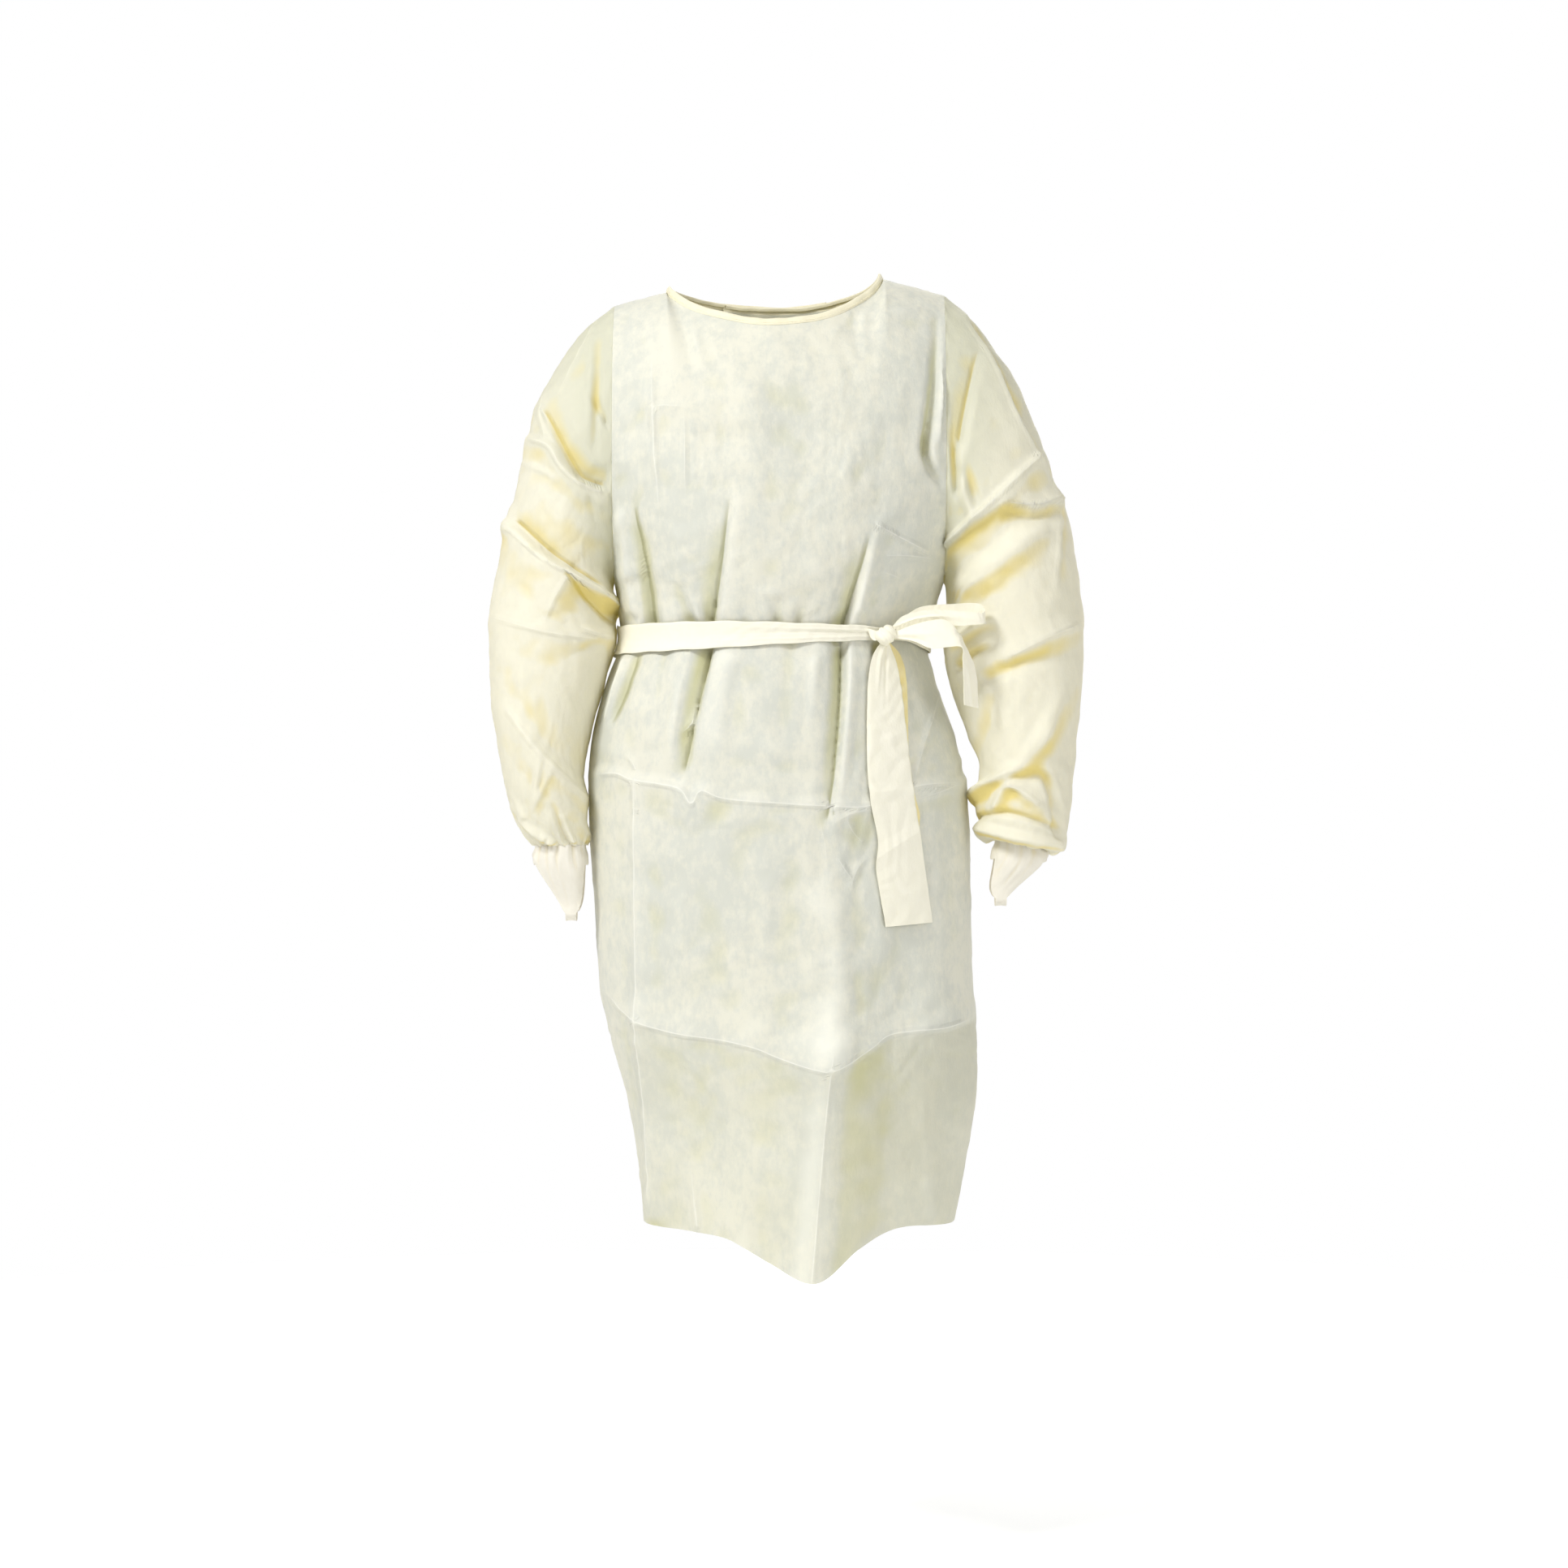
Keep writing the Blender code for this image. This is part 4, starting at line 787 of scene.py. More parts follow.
SKIRT_CREASES = read_creases("""
dart_right_below | -77 -418, -88 -470, -96 -510, -106 -562 | -8 -7 -5 -2 | 7 20 | 0.95
strip_right | -111 -462, -114 -500, -119 -545 | 1 3 1 | 12 12 | 0.5
dart_left_below | 73 -417, 70 -480, 62 -560, 52 -616 | -8 -6.5 -5 -1.2 | 6 20 | 0.95
dart_left_tail | 55 -600, 49 -650, 46 -700 | -0.8 -1.6 0 | 8 22 | 0.5
dart_right_pocket | -108 -516, -98 -506, -92 -486 | 0.4 1.6 0.3 | 9 6 | 0.9
dart_right_tail | -100 -520, -94 -552, -92 -590 | -1.2 -1.6 -0.6 | 10 16 | 0.6
dart_left_edge | 80 -420, 76 -480, 69 -560, 60 -620 | 1 1.8 1.6 0.6 | 14 6 | 0.6
belt_pucker_1 | -50 -420, -62 -470, -66 -540 | 3 2.4 0.4 | 16 18 | 0.6
belt_pucker_2 | 14 -420, 10 -480, 6 -560 | -1.6 -1 0 | 16 16 | 0.3
belt_pucker_3 | 42 -418, 38 -470, 34 -540 | 2.5 2 0 | 10 10 | 0.3
belt_pucker_4 | -128 -422, -136 -470, -140 -510 | -2 -1.4 0 | 12 10 | 0.4
belt_pucker_5 | 112 -422, 118 -470, 126 -540 | -3 -3 0 | 12 12 | 0.2
side_strip | -172 -430, -184 -470, -196 -505 | 3 3.5 1 | 8 8 | 0.85
side_strip_inner | -160 -430, -173 -468, -188 -507 | -2 -3 -0.6 | 10 6 | 0.85
packet_upper | -204 -563, -180 -562, -162 -569, -130 -574, -107 -580, -95 -596, -85 -581, -60 -590, 0 -595,
    50 -598, 100 -598, 150 -577, 205 -572 | 1.5 2 2.4 2 2.6 3.4 2.4 2 2.2 2.2 1.5 2 1.8 | 12 34 | 0.95
packet_upper_end | 155 -590, 178 -583, 200 -575 | 0.5 1.4 0.6 | 4 6 | 0.9
packet_lower | -195 -805, -165 -832, -120 -848, -60 -857, -25 -865, 0 -875, 40 -888, 60 -888, 100 -865,
    120 -852, 150 -848, 185 -846, 215 -838 | 2 3 3.5 3.5 3.5 4 4.5 4.5 3.5 3 2.6 2.4 2 | 40 90 | 1
packet_corner | 48 -690, 62 -742, 60 -880 | 0.5 1.6 2 | 26 20 | 0.7
hem_corner | 56 -868, 45 -1000, 34 -1128 | 6 9 10 | 70 60 | 0.9
hem_corner_edge | 56 -868, 45 -1000, 34 -1128 | 2 3 3.4 | 30 30 | 1
packet_side | -160 -560, -160 -600, -159 -720, -156 -830, -148 -940, -142 -1048 | 0.6 2 2.4 3 3 2 | 34 14 |
    0.95
crush_1 | 72 -604, 78 -622, 94 -640 | 0.2 1 0.4 | 8 5 | 0.9
crush_2 | 64 -655, 72 -668, 82 -682 | 0.4 1.6 0.4 | 5 5 | 0.9
crush_3 | 60 -616, 80 -606, 98 -603 | 0.2 0.8 0.2 | 5 6 | 0.9
crush_5 | 98 -655, 86 -668, 78 -690 | 0.2 1 0.4 | 6 5 | 0.95
crush_4 | 42 -606, 50 -640, 52 -676 | 0.2 0.8 0.2 | 8 6 | 0.8
thin_line_1 | 182 -470, 170 -505, 157 -540 | 0.3 1.2 0.3 | 3 4 | 1
thin_line_2 | 172 -500, 160 -535, 151 -568 | 0.3 1 0.3 | 3 4 | 1
thin_line_3 | -172 -540, -160 -556, -156 -600 | 0.3 1 0.3 | 4 4 | 0.9
knee_swell | 20 -700, 44 -716, 62 -736 | 0.5 1.6 0.5 | 24 14 | 0.5
hang_1 | -60 -610, -66 -700, -62 -840 | -0.2 -1.2 -0.2 | 24 26 | 0.1
hang_2 | -20 -610, -14 -720, -18 -860 | 0.2 1.2 0.2 | 22 24 | 0.1
hang_3 | 22 -610, 18 -700, 16 -850 | -0.2 -1 -0.2 | 20 22 | 0.1
hang_4 | -112 -600, -108 -720, -112 -850 | 0.2 1.4 0.4 | 26 28 | 0.1
hang_5 | -140 -640, -138 -740, -136 -840 | -0.2 -1 -0.2 | 18 18 | 0.1
hang_6 | 128 -640, 134 -740, 140 -846 | -0.5 -2 -1 | 28 26 | 0.1
hang_7 | 172 -600, 178 -720, 184 -840 | 0.3 1.4 0.5 | 18 20 | 0.1
hem_hollow_1 | -115 -950, -117 -1064 | 0 -1.6 | 30 30 | 0.3
hem_hollow_2 | -80 -880, -84 -990 | -0.5 -1.2 | 30 30 | 0.3
hem_hollow_3 | 113 -900, 121 -1062 | -0.6 -1.6 | 34 36 | 0.3
hem_swell_1 | -142 -940, -143 -1058 | 0 1.6 | 16 16 | 0.3
hem_swell_2 | -44 -900, -38 -1090 | 0 2 | 24 24 | 0.3
hem_swell_3 | 158 -900, 168 -1058 | 0.5 2 | 20 18 | 0.3
skirt_facet_1 | -60 -440, -20 -500, -14 -570 | 0.3 1.4 0.3 | 24 30 | 0.75
skirt_facet_2 | 120 -455, 140 -520, 134 -566 | 0.3 1.6 0.3 | 22 24 | 0.75
skirt_facet_3 | -92 -600, -70 -650, -64 -720 | 0.4 1.6 0.2 | 26 24 | 0.75
skirt_facet_4 | -140 -640, -60 -700, -20 -790 | 0.2 1.4 0.2 | 34 30 | 0.7
skirt_facet_5 | 150 -620, 112 -700, 116 -800 | 0.2 1.4 0.2 | 30 28 | 0.7
skirt_facet_6 | -128 -850, -64 -920, -52 -1000 | 0.4 1.6 0.2 | 30 36 | 0.7
skirt_facet_7 | 150 -860, 104 -940, 120 -1020 | 0.4 1.6 0.2 | 32 30 | 0.7
hem_crease | -100 -1000, -92 -1068 | 0.2 2 | 6 8 | 0.8
""")

# %% Creases of the back
# The back isn't seen in the photograph. The belt gathers it in the same way, and the packet pressed
# the same lines across it.
BACK_CREASES = read_creases("""
dart_right | -84 -258, -76 -330, -66 -404 | 0 -5 -11 | 20 8 | 0.5
dart_right_below | -66 -418, -74 -500, -88 -600, -92 -660 | -11 -7 -3 0 | 12 14 | 0.4
dart_left | 98 -250, 88 -330, 78 -404 | 0 -5 -11 | 8 20 | 0.5
dart_left_below | 78 -418, 86 -520, 100 -640 | -11 -6 -1 | 12 12 | 0.4
side_dart_left | 138 -300, 132 -352, 128 -404 | 0 -5 -9 | 8 14 | 0.5
side_dart_right | -146 -290, -138 -350, -132 -404 | 0 -4 -8 | 12 8 | 0.4
pucker_1 | -40 -352, -36 -404 | 0 3.4 | 8 7 | 0.4
pucker_2 | -16 -366, -12 -404 | 0 -3.5 | 8 8 | 0.3
pucker_3 | 12 -346, 8 -404 | 0 3.2 | 7 8 | 0.4
pucker_4 | 36 -362, 38 -404 | 0 -3 | 7 7 | 0.3
below_1 | -36 -420, -40 -500, -36 -580 | 3 2.5 0 | 14 14 | 0.3
below_2 | 6 -420, 8 -510, 4 -620 | -4 -3 0 | 16 16 | 0.2
below_3 | 40 -420, 46 -500, 52 -600 | 3 3 0 | 12 14 | 0.4
below_4 | 128 -420, 134 -480, 146 -560 | -8 -5 0 | 10 12 | 0.4
below_5 | -132 -420, -138 -480, -150 -570 | -7 -5 0 | 12 10 | 0.4
packet_upper | -205 -572, -120 -580, -20 -590, 60 -586, 140 -592, 212 -578 | 1.5 2.2 2 2.6 2 1.5 | 8 12 |
    0.9
packet_lower | -188 -842, -100 -856, 0 -866, 90 -858, 218 -846 | 2 3.4 4 3.4 2 | 16 20 | 1
packet_right | -122 -470, -118 -800, -106 -1068 | 1 1.8 1.4 | 6 7 | 0.9
packet_left | 128 -450, 134 -800, 130 -1068 | 1 1.8 1.4 | 7 6 | 0.9
blade_right | -128 -120, -112 -220, -96 -300 | 0 -5 -1 | 16 16 | 0.2
blade_left | 132 -120, 118 -220, 104 -290 | 0 -5 -1 | 16 16 | 0.2
yoke_drag | -120 -90, -40 -120, 50 -118, 126 -84 | 0 2.5 2.5 0 | 14 20 | 0.1
spine_hang | -46 -140, -52 -220, -50 -320 | 0 3 1 | 18 18 | 0.1
spine_hang_left | 52 -130, 58 -230, 56 -320 | 0 -3 -1 | 20 20 | 0.1
hang_1 | -60 -610, -66 -740, -58 -850 | -1 -4 -1 | 24 24 | 0.1
hang_2 | 30 -620, 36 -740, 30 -850 | 1 4 1 | 22 24 | 0.1
hang_3 | -160 -600, -164 -740, -160 -840 | 1 3 1 | 18 18 | 0.1
hang_4 | 90 -640, 84 -740, 88 -850 | -1 -3 -1 | 20 20 | 0.1
hem_hollow_1 | -66 -900, -60 -1068 | -1 -6 | 26 24 | 0.1
hem_swell | -10 -900, -6 -1068 | 1 7 | 28 28 | 0.4
hem_hollow_2 | 54 -890, 60 -1068 | -1 -5 | 24 24 | 0.1
hem_swell_left | 160 -900, 164 -1066 | 0 4 | 20 18 | 0.3
crush_1 | -60 -640, -56 -668, -66 -700 | 0.3 1.2 0.3 | 7 9 | 0.75
crush_2 | 96 -470, 110 -500, 100 -530 | 0.4 1.6 0.4 | 5 5 | 0.9
thin_line | 150 -180, 100 -196, 60 -192 | 0.4 1.2 0.4 | 4 4 | 1
""")
print(len(CHEST_CREASES) + len(SKIRT_CREASES), "creases in front,", len(BACK_CREASES), "behind")

# %% A creased panel
CHEST_LENGTH = 0.345     # from the underarm up over the chest to the shoulder
CLOTH_LENGTH = UNDERARM_Z - HEM_Z + CHEST_LENGTH
CREASE_DEPTH = 1.8       # the tables give heights for thick cloth: thin cloth folds deeper
CRUMPLE_DEPTH = 0.0008
BODY_CRUMPLES = ((1.6, 0.075, 30), (1.0, 0.034, 0), (0.5, 0.015, 20))
PINCH = 0.0011           # how far a sewn seam draws the cloth up
PINCH_PITCH = 0.011      # and how far apart the pinches are
BELT_PRESS = 0.018       # this far above and below its middle the belt presses ridges flat
BELT_EASE = 0.014        # and over this much more they rise again
BELT_FLATTENS = 0.75     # share of a ridge that the belt takes away
HEM_DIM = 0.16           # painted shade below the packet's lower line, where the cloth hangs turned from the light


def up_the_cloth(z):
    """How far above the hem a height is."""
    return z - HEM_Z


def hem_drop(points):
    """How far the front hem hangs below the level hem line."""
    near = smooth(1 - (points[..., 2] - HEM_Z) / HEM_DROP_FROM)
    return along(HEM_DROPS, "x", "drop", points[..., 0]) * near


def even_rows(points, v, metres_up):
    """The same surface with its rows at measured places up the cloth, whatever the rows were."""
    steps = np.linalg.norm(np.diff(points, axis=0), axis=-1)
    run = np.concatenate([np.zeros((1, points.shape[1])), np.cumsum(steps, axis=0)])
    placed = np.empty((len(metres_up), points.shape[1], 4))
    for column in range(points.shape[1]):
        at = metres_up / CLOTH_LENGTH * run[-1, column]
        for axis in range(3):
            placed[:, column, axis] = np.interp(at, run[:, column], points[:, column, axis])
        placed[:, column, 3] = np.interp(at, run[:, column], v[:, column])
    return placed[..., :3], placed[..., 3]


def ease_underarm(points, u):
    """Rounds the change of slope that the surface has at the height of the underarm."""
    soft = points.copy()
    for _ in range(24):
        soft[1:-1] = (soft[:-2] + 2 * soft[1:-1] + soft[2:]) / 4
    near = np.exp(-(((points[..., 2] - UNDERARM_Z) / 0.045) ** 2)) * smooth((1 - np.abs(u)) / 0.12)
    return points + (soft - points) * near[..., None]


def panel(columns, metres_up, face, waves, creases, seed):
    """The smooth points of a panel, its normals, its height over them and the marks for its material."""
    u, v = np.meshgrid(columns, np.linspace(0, 3, 1500))
    points, v = even_rows(body_surface(u, v, face), v, metres_up)
    u = np.broadcast_to(columns, v.shape)
    points = ease_underarm(points, u)
    if face == FRONT:
        points[..., 2] -= hem_drop(points)
    x, z = points[..., 0], points[..., 2]
    height = wave_height(x, z, waves) + CREASE_DEPTH * crease_height(x, z, creases)
    under_belt = 1 - smooth((np.abs(z - BELT_Z - BELT_FRONT_RISE / 2) - BELT_PRESS) / BELT_EASE)
    height = np.where(height > 0, height * (1 - BELT_FLATTENS * under_belt), height)

    edge_u, edge_v = 1 - np.abs(u), 3 - v
    height *= smooth(edge_u / 0.05) * smooth(edge_v / 0.12)
    seam = np.exp(-edge_u / 0.05) * smooth((v - 1) * 4) * smooth(edge_u / 0.012)
    height += PINCH * seam * np.sin(2 * np.pi * z / PINCH_PITCH + 2.2 * soft_noise(x, z, 0.03, seed + 40))
    small = crumples(x, z, BODY_CRUMPLES, seed)
    height += CRUMPLE_DEPTH * small * smooth(edge_u / 0.04) * smooth(edge_v / 0.05)
    distance, strength = crease_lines(x, z, creases)
    packet_x, packet_z = zip(*next(path for name, path, *_ in creases if name == "packet_lower"))
    below = np.interp(x / MM, packet_x, packet_z) * MM - z
    # Painted shade below the packet's lower line: patchy, and stronger towards +X.
    patchy_shade = 1 + 1.2 * soft_noise(x, z, 0.07, seed + 60) + 2.2 * smooth((x - 0.04) / 0.06)
    marks = {
        "line_distance": distance, "line_strength": strength * smooth(edge_u / 0.02),
        "dim": HEM_DIM * smooth(below / 0.008) * patchy_shade,
    }
    return points, normals_of(points, flip=face == BACK), height, marks


# %% Lay the front panel
# Each spot where rows or columns lie closer is (place, reach, gain).
front_rows = denser(0, CLOTH_LENGTH, 326, (
    (up_the_cloth(-0.880), 0.030, 1.0), (up_the_cloth(-0.585), 0.022, 1.2),
    (up_the_cloth(-0.395), 0.045, 1.0)))
front_columns = denser(-1, 1, 150, (
    (0.36, 0.13, 1.7), (-0.38, 0.09, 1.2), (-0.76, 0.05, 0.6), (0.94, 0.05, 0.6)))
points, out, height, marks = panel(
    front_columns, front_rows, FRONT, FRONT_WAVES, CHEST_CREASES + SKIRT_CREASES, seed=3)
creased = raised(points, out, height)
# The cavity mark paints shade into folds and under lips, and a highlight along ridges.
front = lay("gown_front", creased, painted_shade_and_highlight(height, out, creased), body_cloth, CLOTH_WALL, **marks)
print("front grid:", creased.shape[:2], "height %.1f to %.1f mm" % (height.min() / MM, height.max() / MM))

# %% Lay the two back panels
LAP_RISE_FROM, LAP_RISE_OVER = -0.48, 0.22    # columns over which the outer lap rises onto the inner
BACK_COLUMNS = {
    "left": np.linspace(-BACK_OVERLAP, 1, 84),
    "right": np.linspace(-1, BACK_OVERLAP, 84),
}
back_rows = denser(0, CLOTH_LENGTH, 236, (
    (up_the_cloth(-0.855), 0.03, 0.8), (up_the_cloth(-0.582), 0.02, 0.8), (up_the_cloth(-0.395), 0.04, 0.8)))
backs = {}
for side, columns in BACK_COLUMNS.items():
    points, out, height, marks = panel(columns, back_rows, BACK, BACK_WAVES, BACK_CREASES, seed=5)
    lift = OVERLAP_LIFT * smooth((columns - LAP_RISE_FROM) / LAP_RISE_OVER) if side == "right" else 0.0
    creased = raised(points, out, height + lift)
    # The cavity mark paints shade into folds and under lips, and a highlight along ridges.
    painted_light = painted_shade_and_highlight(height, out, creased, flip=True)
    backs[side] = lay("gown_back_" + side, creased, painted_light, body_cloth, CLOTH_WALL, flip=True, **marks)
    print(side, "back grid:", creased.shape[:2])

# %% [markdown]
# ## Sleeves
# Each sleeve is one tube from the armhole to the wrist elastic. The elbows are bent, so the cloth on
# the inner side has nowhere to go and buckles into deep slanting folds, which are sharper on one side.
# Elastic sewn round the wrist draws the end up into small gathers.

# %% Creases of the right sleeve
RIGHT_SLEEVE_CREASES = read_creases("""
hang_1 | -212 -60, -212 -130, -213 -200 | 0.5 1.5 0 | 8 8 | 0.2
hang_2 | -203 -80, -204 -150, -206 -200 | -0.5 -2 -0.5 | 7 7 | 0.2
armhole_pocket | -213 -136, -200 -158, -191 -173 | -0.5 -3 -4 | 9 4 | 0.7
fold_a | -266 -150, -246 -190, -224 -226, -209 -236, -194 -241 | -1 -4 -6 -6 -3 | 24 6 | 0.8
fold_a_lip | -282 -184, -256 -196, -243 -218, -226 -236, -212 -243, -196 -249 | 2 3.4 3.4 3.4 3 2 | 6 22 |
    0.9
fold_a_tail | -289 -212, -268 -222, -245 -236 | 0.5 1.8 0.5 | 6 6 | 0.6
fold_a_drop | -215 -243, -209 -262, -205 -285 | -1 -1.6 0 | 8 8 | 0.6
fold_b | -298 -276, -278 -296, -255 -315, -226 -333, -199 -353 | -1 -4 -6 -5 0 | 44 6 | 0.9
fold_b_lip | -303 -284, -280 -306, -257 -325, -229 -342, -202 -361 | 3 5 6 5.5 3 | 6 40 | 0.95
outer_swell | -306 -262, -305 -286 | 3 3 | 12 12 | 0.2
fold_c | -240 -336, -214 -366, -187 -396 | -2 -5 0 | 6 34 | 0.9
fold_c_lip | -217 -344, -205 -357, -193 -372 | 3 5 4 | 12 8 | 0.8
crook_swell | -200 -340, -192 -362, -190 -392, -193 -412 | 1 2.4 2.4 1 | 10 10 | 0.3
crook_line_1 | -222 -398, -206 -404, -192 -408 | 0.5 2 1 | 5 5 | 0.8
crook_line_2 | -232 -430, -216 -420, -200 -414 | -0.5 -2 -1 | 6 8 | 0.5
forearm_hollow | -296 -470, -270 -506, -247 -536, -210 -572 | -1 -2.6 -3.4 -2.4 | 40 12 | 0.5
forearm_lip | -306 -488, -278 -524, -255 -552, -220 -588 | 1.5 3 3.4 2.4 | 8 30 | 0.85
lower_1 | -265 -545, -270 -572, -275 -600 | 0.5 2 0.5 | 5 5 | 0.6
lower_2 | -255 -560, -264 -580, -272 -598 | 0.5 1.5 0.5 | 5 5 | 0.6
lower_3 | -300 -585, -285 -610 | 0.5 2 | 6 6 | 0.6
lower_4 | -242 -612, -232 -638 | 1 3 | 5 6 | 0.5
lower_5 | -225 -610, -215 -640 | 1 3 | 5 6 | 0.5
lower_6 | -300 -600, -283 -617, -265 -635 | 1 3 3 | 7 7 | 0.4
lower_7 | -290 -615, -272 -628, -255 -640 | 1 3 3 | 6 6 | 0.5
lower_hollow_1 | -294 -606, -276 -622, -262 -636 | -0.5 -2.5 -2.5 | 5 5 | 0.4
lower_hollow_2 | -250 -600, -244 -620, -238 -640 | -0.5 -2.5 -2.5 | 6 6 | 0.4
elbow_line | -324 -386, -262 -404, -200 -412 | 0.8 1.8 1.2 | 16 30 | 0.9
elbow_facet | -238 -344, -252 -370, -262 -394 | 2 3.4 0.6 | 22 30 | 0.9
forearm_long | -310 -420, -290 -450, -272 -500 | 0.3 1.6 0.3 | 16 20 | 0.3
top_swell | -262 -122, -268 -150, -262 -186 | 0 2.2 1 | 18 22 | 0.85
cap_line | -204 -44, -226 -90, -250 -140 | 0.3 1.4 0.4 | 14 22 | 0.85
""")

# %% Creases of the left sleeve
LEFT_SLEEVE_CREASES = read_creases("""
cap_fold | 210 -48, 240 -100, 265 -160, 290 -205, 316 -252 | 1.5 3 4 3.6 2.4 | 4 26 | 0.95
cap_step | 218 -46, 248 -98, 273 -158, 297 -203, 320 -246 | -1 -3 -3.5 -3 -2 | 16 3 | 0.4
cap_pocket | 270 -136, 278 -152, 286 -170 | -0.5 -3 -0.5 | 8 8 | 0.5
hang_1 | 222 -88, 206 -160, 200 -192 | -0.6 -3 -3 | 12 20 | 0.8
pocket_1 | 210 -225, 216 -248, 222 -272 | -1 -4 -2 | 10 8 | 0.6
pocket_2 | 194 -203, 197 -245 | -4 -5 | 10 6 | 0.6
lobe | 205 -240, 218 -272 | 3 4 | 12 12 | 0.6
fold_d | 291 -206, 264 -232, 238 -258, 212 -282, 188 -303 | 2 3.4 5 6 5 | 34 8 | 0.95
fold_d_hollow | 262 -258, 226 -284, 191 -308 | -1 -3.4 -3 | 40 5 | 0.6
fold_e | 316 -252, 290 -262, 254 -260 | 2 3 2 | 5 16 | 0.95
fold_e_hollow | 312 -266, 286 -276, 256 -272 | -2 -4 -3 | 18 6 | 0.5
outer_facet | 316 -260, 313 -310, 310 -362 | 2 2.4 0 | 8 12 | 0.8
elbow_swell | 300 -280, 260 -315, 215 -352 | 2 4 3 | 22 24 | 0.5
elbow_line | 256 -433, 296 -412, 337 -394 | 2 3 2 | 20 10 | 1
elbow_hollow | 236 -452, 280 -436, 330 -424 | -3 -3 -1 | 12 16 | 0.2
forearm_swell | 336 -440, 300 -500, 262 -562 | 1 4 4 | 22 26 | 0.6
forearm_hollow_1 | 300 -480, 282 -512, 262 -547 | -0.6 -2.6 -1.6 | 16 14 | 0.5
forearm_line | 312 -500, 298 -520, 285 -546 | 0 2.2 0 | 14 12 | 0.85
forearm_hollow_2 | 240 -470, 230 -510, 222 -552 | -1 -3 -2 | 18 12 | 0.5
crook_line_1 | 244 -388, 222 -396, 198 -412 | 0.5 3 3 | 6 10 | 0.6
crook_line_2 | 238 -420, 218 -428, 202 -442 | -1 -4 -4 | 7 7 | 0.4
fold_f | 220 -587, 240 -571, 263 -557 | 6 6 2 | 9 9 | 0.4
inner_swell | 212 -572, 212 -606 | 5 5 | 10 10 | 0.2
fold_g | 265 -565, 300 -570, 315 -632 | -3 -5 -4 | 10 10 | 0.3
fold_g_facet | 240 -603, 258 -577, 291 -598 | 3 4 2 | 12 10 | 0.85
wrist_roll | 226 -622, 268 -632, 312 -641 | 5 6 5 | 8 10 | 0.2
wrist_groove | 222 -612, 250 -606, 290 -616, 316 -626 | -3 -3 -3 -2 | 6 6 | 0.5
top_line | 232 -66, 262 -112, 286 -160 | 0.3 1.2 0.3 | 6 8 | 0.6
""")
print(len(RIGHT_SLEEVE_CREASES), "creases in the right sleeve,", len(LEFT_SLEEVE_CREASES), "in the left")

# %% A creased sleeve
SLEEVE_BACK_DROP = 0.026 # the arm is bent forwards, so the back's folds lie lower
SLEEVE_DEPTH = 1.7
SLEEVE_CRUMPLE = 0.0009
SLEEVE_CRUMPLES = ((1.4, 0.060, 30), (1.0, 0.030, 0), (0.5, 0.013, 20))
SHOULDER_DIM = 1.0       # over the shoulder the cloth lies close and shows the body's cooler colour
SHOULDER_DIM_END = 3.4   # the ring where that has faded out
SLEEVE_SHADE_GAIN = 2.6        # painted shade on a sleeve is stronger: what turns away from the light is painted yellow
GATHERS = 12             # gathers round each wrist elastic
GATHER_DEPTH = 0.0019


def ruffle(turn, depth, seed):
    """Pinched gathers round an elastic, uneven in width and depth."""
    wave = GATHERS * turn / 360
    uneven = wave + 0.35 * soft_noise(np.cos(np.radians(turn)), np.sin(np.radians(turn)), 0.35, seed)
    fine = np.abs(np.sin(np.pi * uneven)) + 0.45 * np.abs(np.sin(2.6 * np.pi * uneven + 1.1))
    return depth * (1.5 * fine - 1.1)


def sleeve(rings, creases, side, seed):
    """The creased tube, row by row from the armhole to the wrist, and the marks for its material."""
    stations = denser(0, WRIST, 236, ((WRIST, 0.9, 1.6), (3.6, 1.2, 0.4)))
    turn, station = np.meshgrid(np.linspace(0, 360, 196, endpoint=False), stations)
    points = sleeve_surface(rings, turn, station)
    out = normals_of(points, flip=side > 0, tube=True)
    x, z = points[..., 0], points[..., 2]
    read_z = z + SLEEVE_BACK_DROP * np.maximum(np.sin(np.radians(turn)), 0)
    height = SLEEVE_DEPTH * crease_height(x, read_z, creases)
    height *= smooth(station / 0.35) * smooth((WRIST - station) / 0.5)

    around = np.radians(turn)
    seam = np.exp(-station / 0.22) * smooth(station / 0.06)
    height += PINCH * 0.8 * seam * np.sin(26 * around + 2 * np.sin(3 * around))
    at_wrist = smooth((station - WRIST + 1.5) / 1.5)
    height += ruffle(turn, GATHER_DEPTH, seed) * at_wrist
    flat_x, flat_z = 0.075 * np.cos(around) + 0.4 * side, read_z + 0.05 * np.sin(around)
    small = crumples(flat_x, flat_z, SLEEVE_CRUMPLES, seed)
    height += SLEEVE_CRUMPLE * small * smooth(station / 0.5)
    creased = raised(points, out, height)
    distance, strength = crease_lines(x, read_z, creases)
    # cavity paints shade into folds and under lips and a highlight along ridges; the lines paint pressed
    # ridges and valleys; dim is the body's cooler colour at the shoulder.
    marks = {
        "cavity": painted_shade_and_highlight(height, out, creased, flip=side > 0, tube=True, gain=SLEEVE_SHADE_GAIN),
        "line_distance": distance, "line_strength": strength,
        "dim": SHOULDER_DIM * smooth((SHOULDER_DIM_END - station) / 3.0),
    }
    return creased, marks


